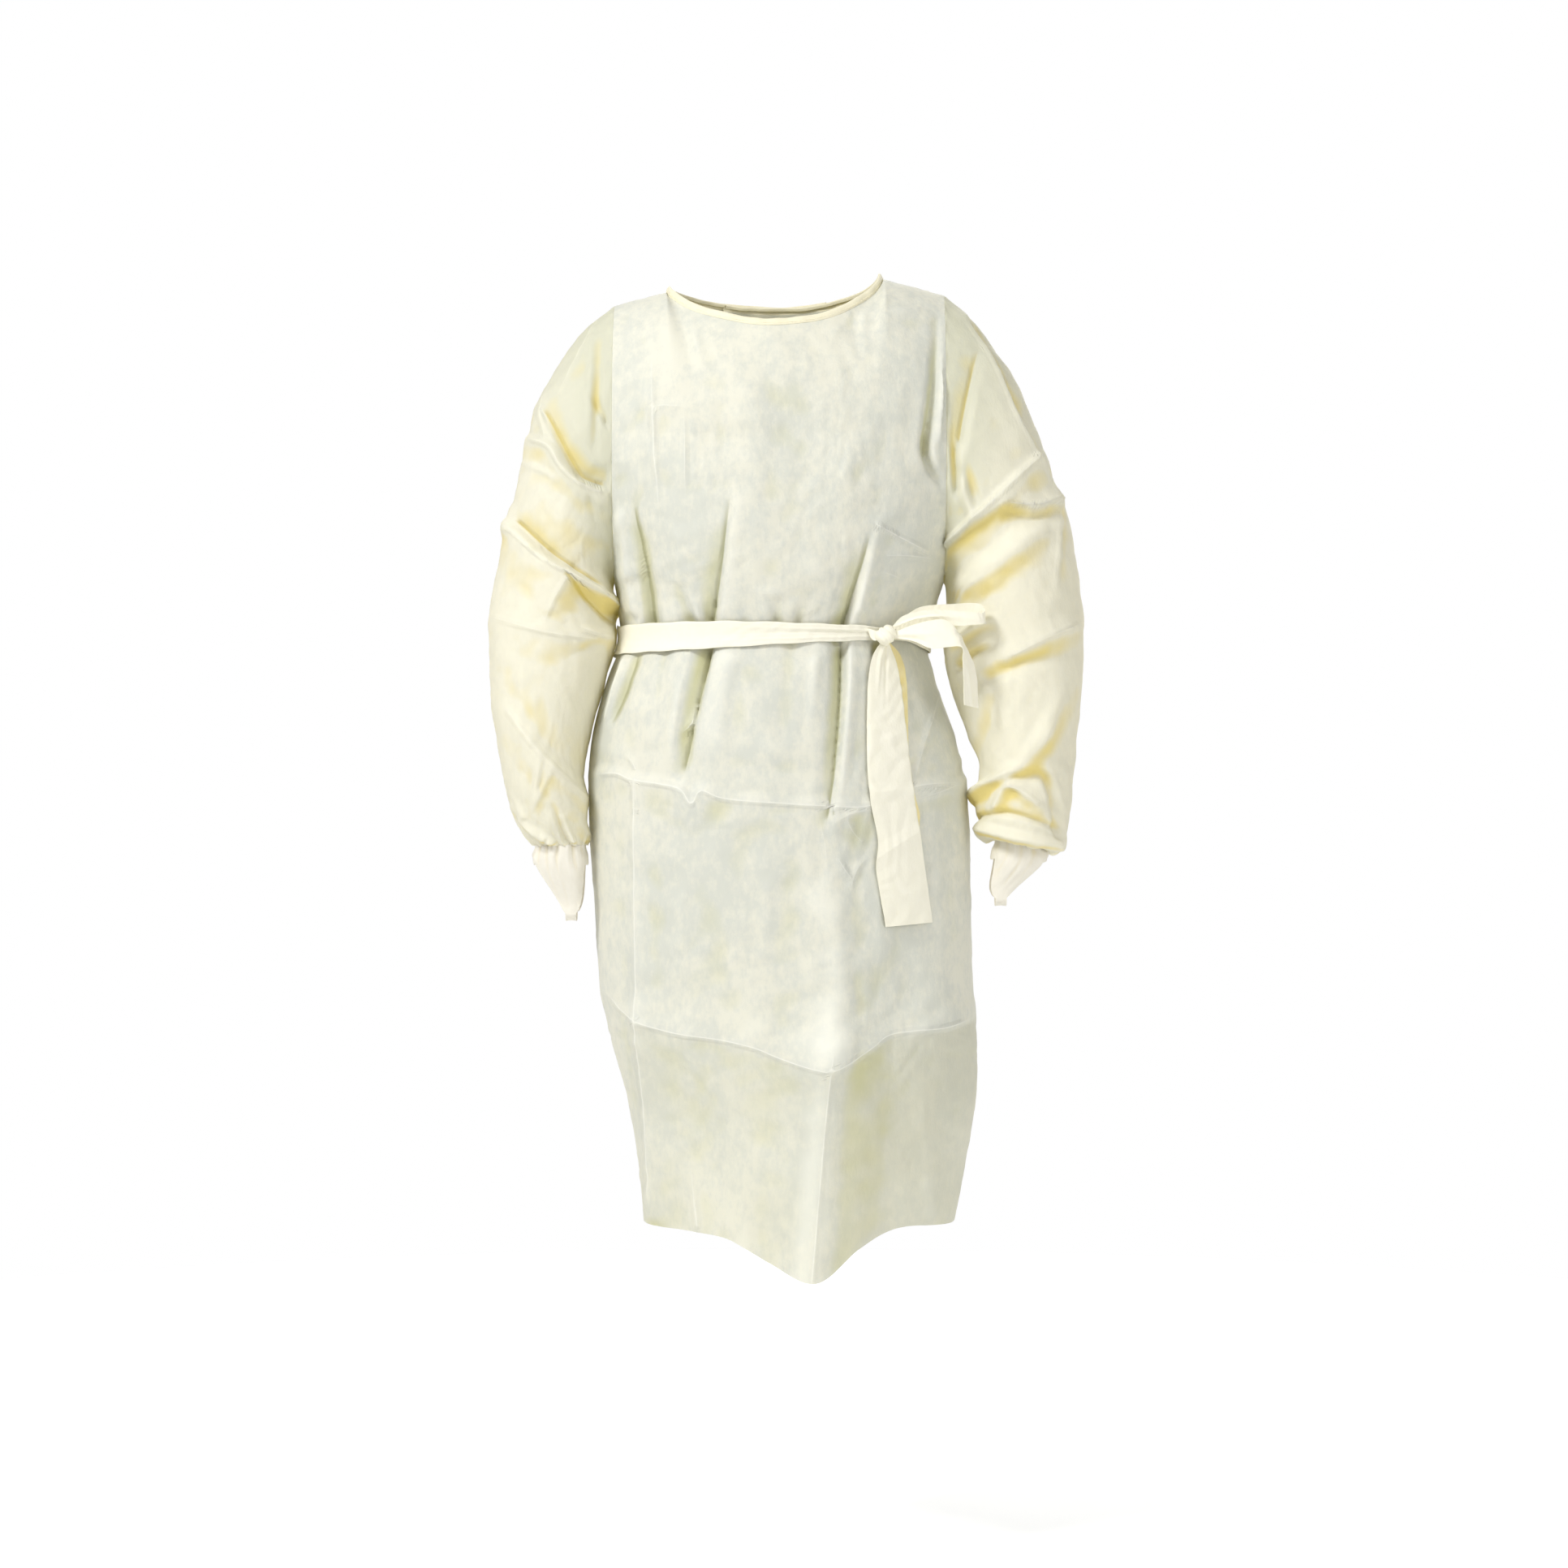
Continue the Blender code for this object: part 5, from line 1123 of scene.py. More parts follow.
# %% Lay the sleeves
SLEEVES = {
    "right": (RIGHT_RINGS, RIGHT_SLEEVE_CREASES, -1, 11),
    "left": (LEFT_RINGS, LEFT_SLEEVE_CREASES, 1, 17),
}
sleeves, sleeve_grids = {}, {}
for side, given in SLEEVES.items():
    grid, marks = sleeve(*given)
    sleeve_grids[side] = grid
    sleeves[side] = lay("gown_sleeve_" + side, grid, material=sleeve_cloth, wall=CLOTH_WALL, tube=True,
                        flip=side == "left", **marks)
    print(side, "sleeve grid:", grid.shape[:2])

# %% [markdown]
# ## Thumb-loop cuffs
# A short band of the same cloth follows the wrist elastic. In front and behind it runs down in a
# tongue, and the two tongues meet under the hand in a strap, so a thumb can hold the sleeve down. The
# band and the strap are two grids whose points meet at the tips, merged into one mesh.

# %% Sizes of the cuffs
CUFFS = {
    "right": {"rings": RIGHT_RINGS, "tip_x": -0.2345, "tip_z": -0.7290, "flip": False},
    "left": {"rings": LEFT_RINGS, "tip_x": 0.2500, "tip_z": -0.7120, "flip": True},
}
CUFF_BAND = 0.021        # height of the cuff between its tongues
CUFF_FLARE = 0.004       # how much wider the cuff is below than at the elastic
CUFF_TUCK = 0.0030       # how far the cuff's top is tucked inside the sleeve's end
CUFF_INSIDE = 0.0022     # how much narrower that part is
CUFF_UNDER = 0.0004      # how much narrower than the sleeve's end the cuff is all the way down
CUFF_GATHER = 0.0017     # depth of its gathers at the elastic
CUFF_TUCK_SHARE = 0.16   # the rows that are tucked in, as a share of the cuff's length
TONGUE_HALF_ANGLE = 62.0 # degrees of the rim that each tongue takes, each way
TONGUE_ROUND = 1.5       # over 1 rounds a tongue's sides outwards
STRAP_HALF_ANGLE = 15.0  # degrees of the rim that run on into the strap, each way
STRAP_SAG = 0.010        # how far the strap hangs below the tongues' tips
STRAP_ROWS = 26
CUFF_ROWS, CUFF_COLUMNS = 30, 144
CUFF_CRUMPLE = 0.0009


def cuff_band(rings, tip_x, tip_z, seed):
    """The grid of a cuff from its top, inside the sleeve, to its uneven lower edge."""
    turn = np.linspace(0, 360, CUFF_COLUMNS, endpoint=False)
    rim = sleeve_surface(rings, turn, np.full_like(turn, WRIST))
    centre = (rim.max(axis=0) + rim.min(axis=0)) / 2
    out = unit(rim - centre)
    away = np.minimum(np.abs((turn - 90) % 360 - 180), np.abs((turn - 270) % 360 - 180))
    beside = np.maximum(away - STRAP_HALF_ANGLE, 0) / (TONGUE_HALF_ANGLE - STRAP_HALF_ANGLE)
    drop = centre[2] - tip_z
    length = CUFF_BAND + (drop - STRAP_SAG - CUFF_BAND) * np.maximum(0, 1 - beside**TONGUE_ROUND)
    length = length + 0.0012 * np.sin(5 * np.radians(turn) + seed)
    share = np.concatenate([[-CUFF_TUCK_SHARE, -CUFF_TUCK_SHARE / 2], np.linspace(0, 1, CUFF_ROWS)])[:, None]
    below = np.clip(share, 0, 1)
    stand = CUFF_FLARE * smooth(below * 1.6) - CUFF_INSIDE * (share < 0) - CUFF_UNDER
    points = raised(rim, out, stand)
    points = raised(points, out, ruffle(turn, CUFF_GATHER, seed) * (1 - below) ** 3)
    down = length * below
    lean = smooth((down - CUFF_BAND * 0.5) / (drop - CUFF_BAND))
    points[..., 0] += (tip_x - centre[0]) * lean + (centre[0] - points[..., 0]) * lean * 0.25
    points[..., 1] += (centre[1] - points[..., 1]) * lean * 0.55
    points[..., 2] = rim[:, 2] + np.minimum(share, 0) / -CUFF_TUCK_SHARE * CUFF_TUCK - down
    return points, turn, centre


def strap_columns(turn, angle):
    """The columns of a cuff that run on into the strap."""
    return np.flatnonzero(np.abs((turn - angle + 180) % 360 - 180) <= STRAP_HALF_ANGLE + 0.01)


def strap_grid(start, end, tip_z):
    """A band that hangs in an arch between the two tongues' tips."""
    rows = []
    for share in np.linspace(0, 1, STRAP_ROWS):
        row = start + (end - start) * (1 - math.cos(math.pi * share)) / 2
        row[:, 2] -= (start[:, 2] - tip_z) * math.sin(math.pi * share)
        rows.append(row)
    return np.array(rows)


# %% Lay the cuffs
cuffs = {}
for side, (name, cuff) in enumerate(CUFFS.items()):
    band, turn, centre = cuff_band(cuff["rings"], cuff["tip_x"], cuff["tip_z"], seed=3 + side)
    out = normals_of(band, flip=cuff["flip"], tube=True)
    share = np.linspace(0, 1, len(band))[:, None]
    around = np.radians(turn)[None, :]
    flat_x, flat_z = 0.05 * np.cos(around) + 0 * share, band[..., 2] + 0.03 * np.sin(around)
    small = crumple(flat_x, flat_z, 0.016, 31 + side)
    flutter = np.sin(3 * around + 2.2 * side + 3 * share) + 0.8 * np.sin(5 * around - 2 * share)
    height = CUFF_CRUMPLE * small + 0.0007 * flutter * smooth(share * 1.3) * smooth((1 - share) / 0.15 + 0.3)
    band = raised(band, out, height)
    start, end = strap_columns(turn, 270), strap_columns(turn, 90)[::-1]
    strap = strap_grid(band[-1, start], band[-1, end], cuff["tip_z"])
    # The cuff's gathers and crumples get painted shade in their hollows and a painted highlight on their
    # ridges.
    cavity = cavity_of(height + ruffle(turn, 0.002, 3 + side) * (1 - share), tube=True)
    parts = [sheet_mesh("band", band, cavity, tube=True), sheet_mesh("strap", strap, 0.0)]
    mesh = joined("gown_cuff_" + name, parts, outwards=True)
    foremost = min(mesh.polygons, key=lambda face: face.center.y)
    if foremost.normal.y > 0:
        mesh.flip_normals()
    cuffs[name] = cloth_object("gown_cuff_" + name, mesh, cuff_cloth, CLOTH_WALL)
    print("cuff", name, "has", len(cuffs[name].data.polygons), "faces, strap", len(start), "columns wide")

# %% [markdown]
# ## Neck binding and its stitches
# A narrow strip is folded over the neck's raw edge and sewn down with one row of lock stitches. The
# strip is a grid with a rounded section. A stitch repeats along a path, so one Geometry Nodes tree
# makes every row of stitches: it measures the path into equal steps and lays a small thread on each.

# %% Lay the binding
def binding_ring():
    """The neck's ring in one run, from the end of the outer lap at the back to the end of the inner."""
    end = 90 * BACK_OVERLAP / NECK_COLUMN
    outer_back = np.linspace(end, -90, 150, endpoint=False)
    front_turn = np.linspace(-90, 90, 300, endpoint=False)
    inner_back = np.linspace(90, -end, 150)
    turns = ((outer_back, BACK), (front_turn, FRONT), (inner_back, BACK))
    ring = np.concatenate([neck_ring(turn, face) for turn, face in turns])
    lift = np.zeros(len(ring))
    lift[: len(outer_back)] = OVERLAP_LIFT * smooth((outer_back + 60) / 30)
    return ring, lift


ring, lift = binding_ring()
inward = np.array([NECK_X, 0, 0]) - ring
inward[:, 2] = 0
inward = unit(inward)
up = unit(inward * BINDING_LEAN + np.array([0, 0, 1.0]))
outward = unit(-inward + np.array([0, 0, BINDING_LEAN]))
run = np.concatenate([[0], np.cumsum(np.linalg.norm(np.diff(ring, axis=0), axis=1))])

# The section of the folded strip: (up from the neck's edge, out from it), from outside to inside.
BINDING_PROFILE = (
    (-0.0006, 0.0004), (0.0004, 0.0010), (0.0022, 0.0014), (0.0042, 0.0019), (0.0062, 0.0018),
    (0.0078, 0.0012), (0.0085, 0.0002), (0.0082, -0.0008), (0.0070, -0.0012), (0.0045, -0.0013))
rows = []
for climb, stand in BINDING_PROFILE:
    wave = 0.0005 * np.sin(run / 0.0052 + 1.4 * np.sin(run / 0.021)) * smooth(climb / 0.004)
    edge = 0.0005 * np.sin(run / 0.013 + 0.8)
    rows.append(ring + up * (climb + edge)[:, None] + outward * (lift + stand + wave)[:, None])
stand = np.array([place[1] for place in BINDING_PROFILE])[:, None] + 0 * run
# The binding's section also gets painted shade and highlight from its curve, at three tenths of full
# strength.
binding = lay("gown_neck_binding", np.array(rows), cavity_of(-stand) * 0.3, binding_cloth, BINDING_WALL)
print("binding is %.0f mm long" % (run[-1] / MM))

# %% One tree for every row of stitches
SHORTEST_STITCH, LONGEST_STITCH = 0.82, 1.08  # shares of the stitch length


def stitch_row_tree():
    """Geometry Nodes: threads of equal pitch along a path, slightly uneven in length."""
    tree = bpy.data.node_groups.new("stitch_row", "GeometryNodeTree")
    face = tree.interface
    face.new_socket("Geometry", in_out="INPUT", socket_type="NodeSocketGeometry")
    for name, value in (("Pitch", 0.0042), ("Stitch length", 0.0031), ("Thread radius", 0.00032)):
        socket = face.new_socket(name, in_out="INPUT", socket_type="NodeSocketFloat")
        socket.default_value = value
    face.new_socket("Thread", in_out="INPUT", socket_type="NodeSocketMaterial")
    face.new_socket("Geometry", in_out="OUTPUT", socket_type="NodeSocketGeometry")

    given = add_node(tree, "NodeGroupInput")
    path = add_node(tree, "GeometryNodeMeshToCurve", {"Mesh": given.outputs["Geometry"]})
    steps = add_node(tree, "GeometryNodeResampleCurve",
                     {"Curve": path.outputs[0], "Length": given.outputs["Pitch"]}, mode="LENGTH")
    tangent = add_node(tree, "GeometryNodeInputTangent")
    turned = add_node(tree, "FunctionNodeAlignRotationToVector", {"Vector": tangent.outputs[0]}, axis="Z")
    uneven = add_node(tree, "FunctionNodeRandomValue",
                      {2: SHORTEST_STITCH, 3: LONGEST_STITCH, "Seed": 7}, data_type="FLOAT")
    length = add_node(tree, "ShaderNodeMath", {0: given.outputs["Stitch length"], 1: uneven.outputs[1]},
                      operation="MULTIPLY")
    half = add_node(tree, "ShaderNodeMath", {0: length.outputs[0], 1: 0.5}, operation="MULTIPLY")
    radius = given.outputs["Thread radius"]
    size = add_node(tree, "ShaderNodeCombineXYZ", {0: radius, 1: radius, 2: half.outputs[0]})
    thread_shape = add_node(tree, "GeometryNodeMeshUVSphere", {"Segments": 6, "Rings": 5, "Radius": 1.0})
    laid = add_node(tree, "GeometryNodeInstanceOnPoints",
                    {"Points": steps.outputs[0], "Instance": thread_shape.outputs[0],
                     "Rotation": turned.outputs[0], "Scale": size.outputs[0]})
    real = add_node(tree, "GeometryNodeRealizeInstances", {"Geometry": laid.outputs[0]})
    soft = add_node(tree, "GeometryNodeSetShadeSmooth", {"Geometry": real.outputs[0]})
    finished = add_node(tree, "GeometryNodeSetMaterial",
                        {"Geometry": soft.outputs[0], "Material": given.outputs["Thread"]})
    add_node(tree, "NodeGroupOutput", {"Geometry": finished.outputs[0]})
    return tree


stitch_row = stitch_row_tree()


def sew(name, path, pitch, stitch_length, radius, closed=False):
    """A row of stitches along a path, made by the tree and turned into a plain mesh. The pitch, the
    stitch's length and the thread's radius are in metres."""
    mesh = bpy.data.meshes.new(name)
    edges = [(k, k + 1) for k in range(len(path) - 1)]
    if closed:
        edges.append((len(path) - 1, 0))
    mesh.from_pydata(path.tolist(), edges, [])
    guide = bpy.data.objects.new(name + "_path", mesh)
    gown.objects.link(guide)
    row = guide.modifiers.new("stitch row", "NODES")
    row.node_group = stitch_row
    given = {"Pitch": pitch, "Stitch length": stitch_length, "Thread radius": radius, "Thread": thread}
    for item in stitch_row.interface.items_tree:
        if item.in_out == "INPUT" and item.name in given:
            row[item.identifier] = given[item.name]
    evaluated = guide.evaluated_get(bpy.context.evaluated_depsgraph_get())
    sewn = bpy.data.meshes.new_from_object(evaluated)
    sewn.name = name
    bpy.data.objects.remove(guide)
    bpy.data.meshes.remove(mesh)
    obj = bpy.data.objects.new(name, sewn)
    gown.objects.link(obj)
    print(name, "has", len(sewn.polygons), "faces")
    return obj


# %% Sew the binding and the wrist elastics
SEAM_UP, SEAM_OUT = 0.0020, 0.00155   # from the neck's edge to the row of stitches
WRIST_ROW = -7                        # the sleeve's row of points that the elastic's stitches follow
seam_path = ring + up * SEAM_UP + outward * (lift + SEAM_OUT)[:, None]
sewn_rows = [sew("gown_binding_stitches", seam_path, 0.0042, 0.0030, 0.00034)]
for side, grid in sleeve_grids.items():
    normal = normals_of(grid, flip=side == "left", tube=True)
    path = grid[WRIST_ROW] + normal[WRIST_ROW] * 0.00012
    sewn_rows.append(sew("gown_wrist_stitches_" + side, path, 0.0036, 0.0027, 0.00026, closed=True))

# %% [markdown]
# ## Waist belt
# The belt is one strip folded double. It is sewn to the back, comes round both sides and is tied at
# the front left. It lies flat at the side and is crushed into pleats near the knot, so its height
# shrinks there. Each free end is a ribbon between two given edges.

# %% The tied band
BELT_HALF_WIDTHS = {
    "u":    (-1.000, -0.600, -0.200, 0.200, 0.400, 0.480),
    "half": (0.0165, 0.0170, 0.0155, 0.0105, 0.0085, 0.0068),
}
# Each pleat is (place over the belt's height, share of the full depth, width).
BELT_PLEATS = ((0.30, 0.9, 0.10), (0.52, -1.0, 0.08), (0.70, 1.0, 0.10), (0.14, -0.5, 0.07))
PLEAT_DEPTH = 0.0011
WAIST_MIDDLE, WAIST_HALF = -0.006, 0.174   # of the front at the belt
KNOT_COLUMN = 2 / math.pi * math.asin((KNOT[0] - WAIST_MIDDLE) / WAIST_HALF)
BELT_ROWS = 19
BELT_CAVITY = 0.6        # the belt's folds are shallow, so they get less painted shade


def belt_stretch(u, face, half, rise, pleated, seed):
    """A band that follows the smooth waist, a little way off it, with pleats that run along it."""
    share = np.linspace(-1, 1, BELT_ROWS)[:, None]
    z = BELT_Z + rise + share * half + 0.0004 * np.sin(u * 34 + seed) * np.abs(share)
    points = body_surface(np.broadcast_to(u, z.shape), (z - HEM_Z) / (UNDERARM_Z - HEM_Z), face)
    lift = OVERLAP_LIFT * smooth((0.60 - np.abs(u)) / 0.2) if face == BACK else 0 * u
    height = np.zeros_like(z)
    for place, depth, width in BELT_PLEATS:
        place = place + 0.06 * np.sin(3.2 * u + 9 * place + seed)
        height += PLEAT_DEPTH * depth * pleated * np.clip(1 - np.abs((share + 1) / 2 - place) / width, 0, 1)
    x, y = points[..., 0], points[..., 1]
    rolled_edge = 0.0008 * np.clip(np.abs(share) - 0.88, 0, 1) / 0.12
    height += 0.00045 * crumple(x + 0.7 * y, z, 0.016, seed) - rolled_edge
    return raised(points, normals_of(points), BELT_OUT + lift + height), height


# %% The front stretch, and where it tucks into the knot
# A ribbon's table gives its two edges, a above and b below, station by station.
TUCK = {
    "ax": (0.0960, 0.1010, 0.1070, 0.1120), "ay": (-0.0985, -0.1040, -0.1065, -0.1050),
    "az": (-0.4010, -0.4020, -0.4040, -0.4050), "bx": (0.0985, 0.1015, 0.1060, 0.1125),
    "by": (-0.0985, -0.1035, -0.1060, -0.1050), "bz": (-0.4030, -0.4110, -0.4150, -0.4130),
}


def between_edges(edges, steps, rows):
    """A grid of rows between a lower edge b and an upper edge a, and each column's station."""
    table = dict(edges, step=tuple(range(len(edges["ax"]))))
    at = np.linspace(0, len(edges["ax"]) - 1, steps)
    upper, lower = (
        np.stack([along(table, "step", edge + axis, at) for axis in "xyz"], axis=-1) for edge in "ab")
    share = np.linspace(0, 1, rows)[:, None, None]
    return lower + (upper - lower) * share, at


KNOT_CLEAR = 0.044       # share of the front's half width between the knot's middle and the belt's end
u = np.linspace(-0.995, KNOT_COLUMN - KNOT_CLEAR, 260)
half = along(BELT_HALF_WIDTHS, "u", "half", u)
rise = BELT_FRONT_RISE * smooth((u + 1) / 1.4)
points, height = belt_stretch(u, FRONT, half, rise, smooth((u + 0.45) / 0.8), 2)
tuck = between_edges(TUCK, 24, 10)[0]
# The band's pleats get painted shade and highlight; the tuck gets none.
parts = [sheet_mesh("band", points, cavity_of(height) * BELT_CAVITY), sheet_mesh("tuck", tuck, 0.0)]
belt_front = cloth_object("gown_belt_front", joined("gown_belt_front", parts), doubled_cloth, TRIM_WALL)
print("belt's front stretch:", points.shape[:2], "and its end in the knot:", tuck.shape[:2])

# %% The stretch from the knot round the left side and the back
NARROW_HALF = 0.0070     # half the belt's height beside the knot
front_u = np.linspace(KNOT_COLUMN + 0.045, 1, 110, endpoint=False)
back_u = np.linspace(1, -0.995, 420)
half = NARROW_HALF + (BELT_BACK_HALF - NARROW_HALF) * smooth((front_u - front_u[0]) / 0.38)
first = belt_stretch(front_u, FRONT, half, np.full_like(front_u, BELT_FRONT_RISE),
                     1 - smooth((front_u - front_u[0]) / 0.4), 4)
second = belt_stretch(back_u, BACK, np.full_like(back_u, BELT_BACK_HALF),
                      BELT_FRONT_RISE * smooth((back_u + 1) / 2), 0 * back_u + 0.15, 4)
points, height = (np.concatenate(both, axis=1) for both in zip(first, second))
# Painted shade and highlight in the belt's pleats.
belt_back = lay("gown_belt_back", points, cavity_of(height) * BELT_CAVITY, doubled_cloth, TRIM_WALL)
middle_row = points[BELT_ROWS // 2]
print("belt behind is %.0f mm long" % (np.linalg.norm(np.diff(middle_row, axis=0), axis=1).sum() / MM))

# %% The free ends
LOOP = {
    "ax": (0.1260, 0.1360, 0.1500, 0.1680, 0.1900, 0.2120, 0.2250, 0.2290,
           0.2255, 0.2140, 0.1950, 0.1740, 0.1570, 0.1430, 0.1300),
    "ay": (-0.1010, -0.1040, -0.1065, -0.1085, -0.1090, -0.1085, -0.1050, -0.0980,
           -0.0935, -0.0920, -0.0915, -0.0912, -0.0910, -0.0915, -0.0925),
    "az": (-0.3985, -0.3885, -0.3835, -0.3805, -0.3815, -0.3830, -0.3845, -0.3800,
           -0.3745, -0.3725, -0.3735, -0.3745, -0.3770, -0.3850, -0.3950),
    "bx": (0.1270, 0.1400, 0.1560, 0.1760, 0.1960, 0.2150, 0.2265, 0.2295,
           0.2240, 0.2130, 0.1950, 0.1740, 0.1560, 0.1420, 0.1300),
    "by": (-0.1010, -0.1035, -0.1060, -0.1085, -0.1095, -0.1090, -0.1055, -0.0985,
           -0.0940, -0.0925, -0.0920, -0.0915, -0.0912, -0.0915, -0.0925),
    "bz": (-0.4035, -0.3950, -0.3900, -0.3915, -0.3985, -0.3970, -0.3960, -0.3960,
           -0.3965, -0.3975, -0.3980, -0.3990, -0.4000, -0.4020, -0.4050),
}
SHORT_TAIL = {
    "ax": (0.1270, 0.1460, 0.1650, 0.1840, 0.1975, 0.2115, 0.2190, 0.2220),
    "ay": (-0.1040, -0.1090, -0.1150, -0.1160, -0.1130, -0.1050, -0.0990, -0.0950),
    "az": (-0.4060, -0.3985, -0.3935, -0.3925, -0.4045, -0.4300, -0.4500, -0.4900),
    "bx": (0.1270, 0.1480, 0.1680, 0.1880, 0.2025, 0.2035, 0.2045, 0.2052),
    "by": (-0.1050, -0.1120, -0.1190, -0.1210, -0.1210, -0.1170, -0.1140, -0.1120),
    "bz": (-0.4120, -0.4155, -0.4240, -0.4225, -0.4230, -0.4380, -0.4550, -0.4865),
}
LONG_TAIL = {   # y is how far the tail stands off the front panel
    "ax": (0.1130, 0.1030, 0.0985, 0.0975, 0.1010, 0.1095, 0.1075, 0.1180),
    "ay": (0.0150, 0.0090, 0.0065, 0.0050, 0.0048, 0.0046, 0.0046, 0.0052),
    "az": (-0.4160, -0.4360, -0.4700, -0.5400, -0.5920, -0.6360, -0.6680, -0.7320),
    "bx": (0.1240, 0.1385, 0.1440, 0.1450, 0.1500, 0.1575, 0.1575, 0.1710),
    "by": (0.0150, 0.0100, 0.0075, 0.0050, 0.0048, 0.0046, 0.0046, 0.0052),
    "bz": (-0.4160, -0.4330, -0.4660, -0.5350, -0.5780, -0.6080, -0.6310, -0.7280),
}
LOOP_CREASES = read_creases("""
fold_1 | 130 -399, 152 -391, 176 -388, 196 -390 | 1 1.6 1.4 0.3 | 3 4 | 0.6
fold_2 | 128 -401, 150 -395, 170 -396 | -0.6 -1.2 -0.3 | 3 3 | 0.4
swell | 186 -386, 206 -390, 220 -392 | 0.4 1.6 0.6 | 6 6 | 0.2
""")
SHORT_TAIL_CREASES = read_creases("""
leaf_fold_1 | 130 -409, 150 -408, 174 -409 | 1 1.8 0.3 | 5 4 | 0.6
leaf_fold_2 | 132 -411, 152 -413, 168 -418 | -0.6 -1.2 -0.3 | 3 3 | 0.4
leaf_swell | 164 -402, 182 -404, 196 -412 | 0.5 2.2 1.2 | 12 10 | 0.1
hang_fold | 206 -436, 211 -460, 214 -486 | 0.6 1.2 0.8 | 4 3 | 0.7
""")
LONG_TAIL_CREASES = read_creases("""
across_1 | 94 -583, 120 -582, 152 -579 | 1.2 1.5 1.2 | 10 12 | 1
across_2 | 104 -659, 130 -642, 160 -624 | 1.6 2 1.6 | 12 14 | 1
knot_pleat_1 | 117 -417, 112 -440, 109 -478 | 1.6 1.4 0.2 | 3 4 | 0.6
knot_pleat_2 | 120 -417, 119 -442, 118 -492 | -1.4 -1.2 -0.2 | 3 3 | 0.5
across_3 | 98 -520, 118 -524, 140 -519 | 0.4 0.9 0.3 | 8 10 | 0.8
edge_curl | 98 -452, 97 -540, 101 -590 | -0.8 -1.2 -0.6 | 4 4 | 0.4
end_fold | 112 -690, 138 -696, 166 -690 | 0.4 1.2 0.4 | 8 10 | 0.8
""")


def front_y(x, z):
    """How far forward the creased front panel is, seen at a place below the underarm."""
    right, left = (along(BODY_SECTIONS, "z", side, z) for side in ("right", "left"))
    u = np.degrees(np.arcsin((x - (left + right) / 2) / ((left - right) / 2))) / 90
    smooth_y = body_surface(u, (z - HEM_Z) / (UNDERARM_Z - HEM_Z), FRONT)[..., 1]
    return smooth_y - np.maximum(wave_height(x, z, FRONT_WAVES), 0)


# %% Lay the loop and the short tail
LOOP_TURN = 7.0          # the station where the loop turns back: its creases are on the part in front
points, at = between_edges(LOOP, 190, 22)
x, z = points[..., 0], points[..., 2]
height = crease_height(x, z, LOOP_CREASES) * smooth(LOOP_TURN - at)
height += 0.0004 * crumple(x, z + 0.05 * at, 0.014, 51)
# The loop's folds get painted shade and highlight.
belt_loop = lay("gown_belt_loop", raised(points, normals_of(points), height), cavity_of(height) * BELT_CAVITY,
                doubled_cloth, TRIM_WALL)

points, at = between_edges(SHORT_TAIL, 150, 26)
x, z = points[..., 0], points[..., 2]
height = crease_height(x, z, SHORT_TAIL_CREASES) + 0.0005 * crumple(x, z, 0.016, 52)
# The short tail's folds get painted shade and highlight too.
belt_tail_short = lay("gown_belt_tail_short", raised(points, normals_of(points), height),
                      cavity_of(height) * BELT_CAVITY, doubled_cloth, TRIM_WALL)
print("loop and short tail:", len(belt_loop.data.vertices), len(belt_tail_short.data.vertices), "points")

# %% Lay the long tail
# It is folded once along its length, so its right layer covers its left strip. The table is the
# covering layer's edge.
TAIL_LAYER_EDGE = {
    "z": (-0.415, -0.424, -0.437, -0.458, -0.500, -0.535, -0.582, -0.640, -0.735),
    "x": (0.1225, 0.1258, 0.1310, 0.1355, 0.1405, 0.1445, 0.1500, 0.1590, 0.1760),
}
TAIL_STEP = 0.0018       # how far the covered strip lies behind the covering layer
TAIL_EDGE = 0.0012       # the width of the step itself

points, at = between_edges(LONG_TAIL, 240, 44)
x, z = points[..., 0], points[..., 2]
points[..., 1] = front_y(x, z) - points[..., 1]
under = smooth((x - along(TAIL_LAYER_EDGE, "z", "x", z)) / TAIL_EDGE + 0.5)
height = crease_height(x, z, LONG_TAIL_CREASES) + 0.0006 * crumple(x, z, 0.022, 53)
# Painted shade and highlight in the folds, and painted shade on the covered strip under the covering layer.
cavity = np.clip(cavity_of(height) * 0.7 + 0.75 * under, -1, 1)
points = raised(points, normals_of(points, flip=True), height - TAIL_STEP * under)
belt_tail_long = lay("gown_belt_tail_long", points, cavity, doubled_cloth, TRIM_WALL, flip=True)
print("long tail:", points.shape[:2], "its layers lie %.1f mm apart" % (TAIL_STEP / MM))

# %% The knot
KNOT_AXIS = np.array((0.72, 0.10, 0.69))
KNOT_LENGTH, KNOT_RADIUS, KNOT_DEPTH = 0.0118, 0.0098, 0.0088   # half sizes of the barrel
# Each pleat is (place along the barrel, share of the full depth, width).
KNOT_PLEATS = ((-0.62, 1.0, 0.20), (-0.30, -0.8, 0.16), (0.02, 1.1, 0.22), (0.36, -1.0, 0.16),
               (0.66, 0.9, 0.20))
KNOT_PLEAT_DEPTH = 0.00075


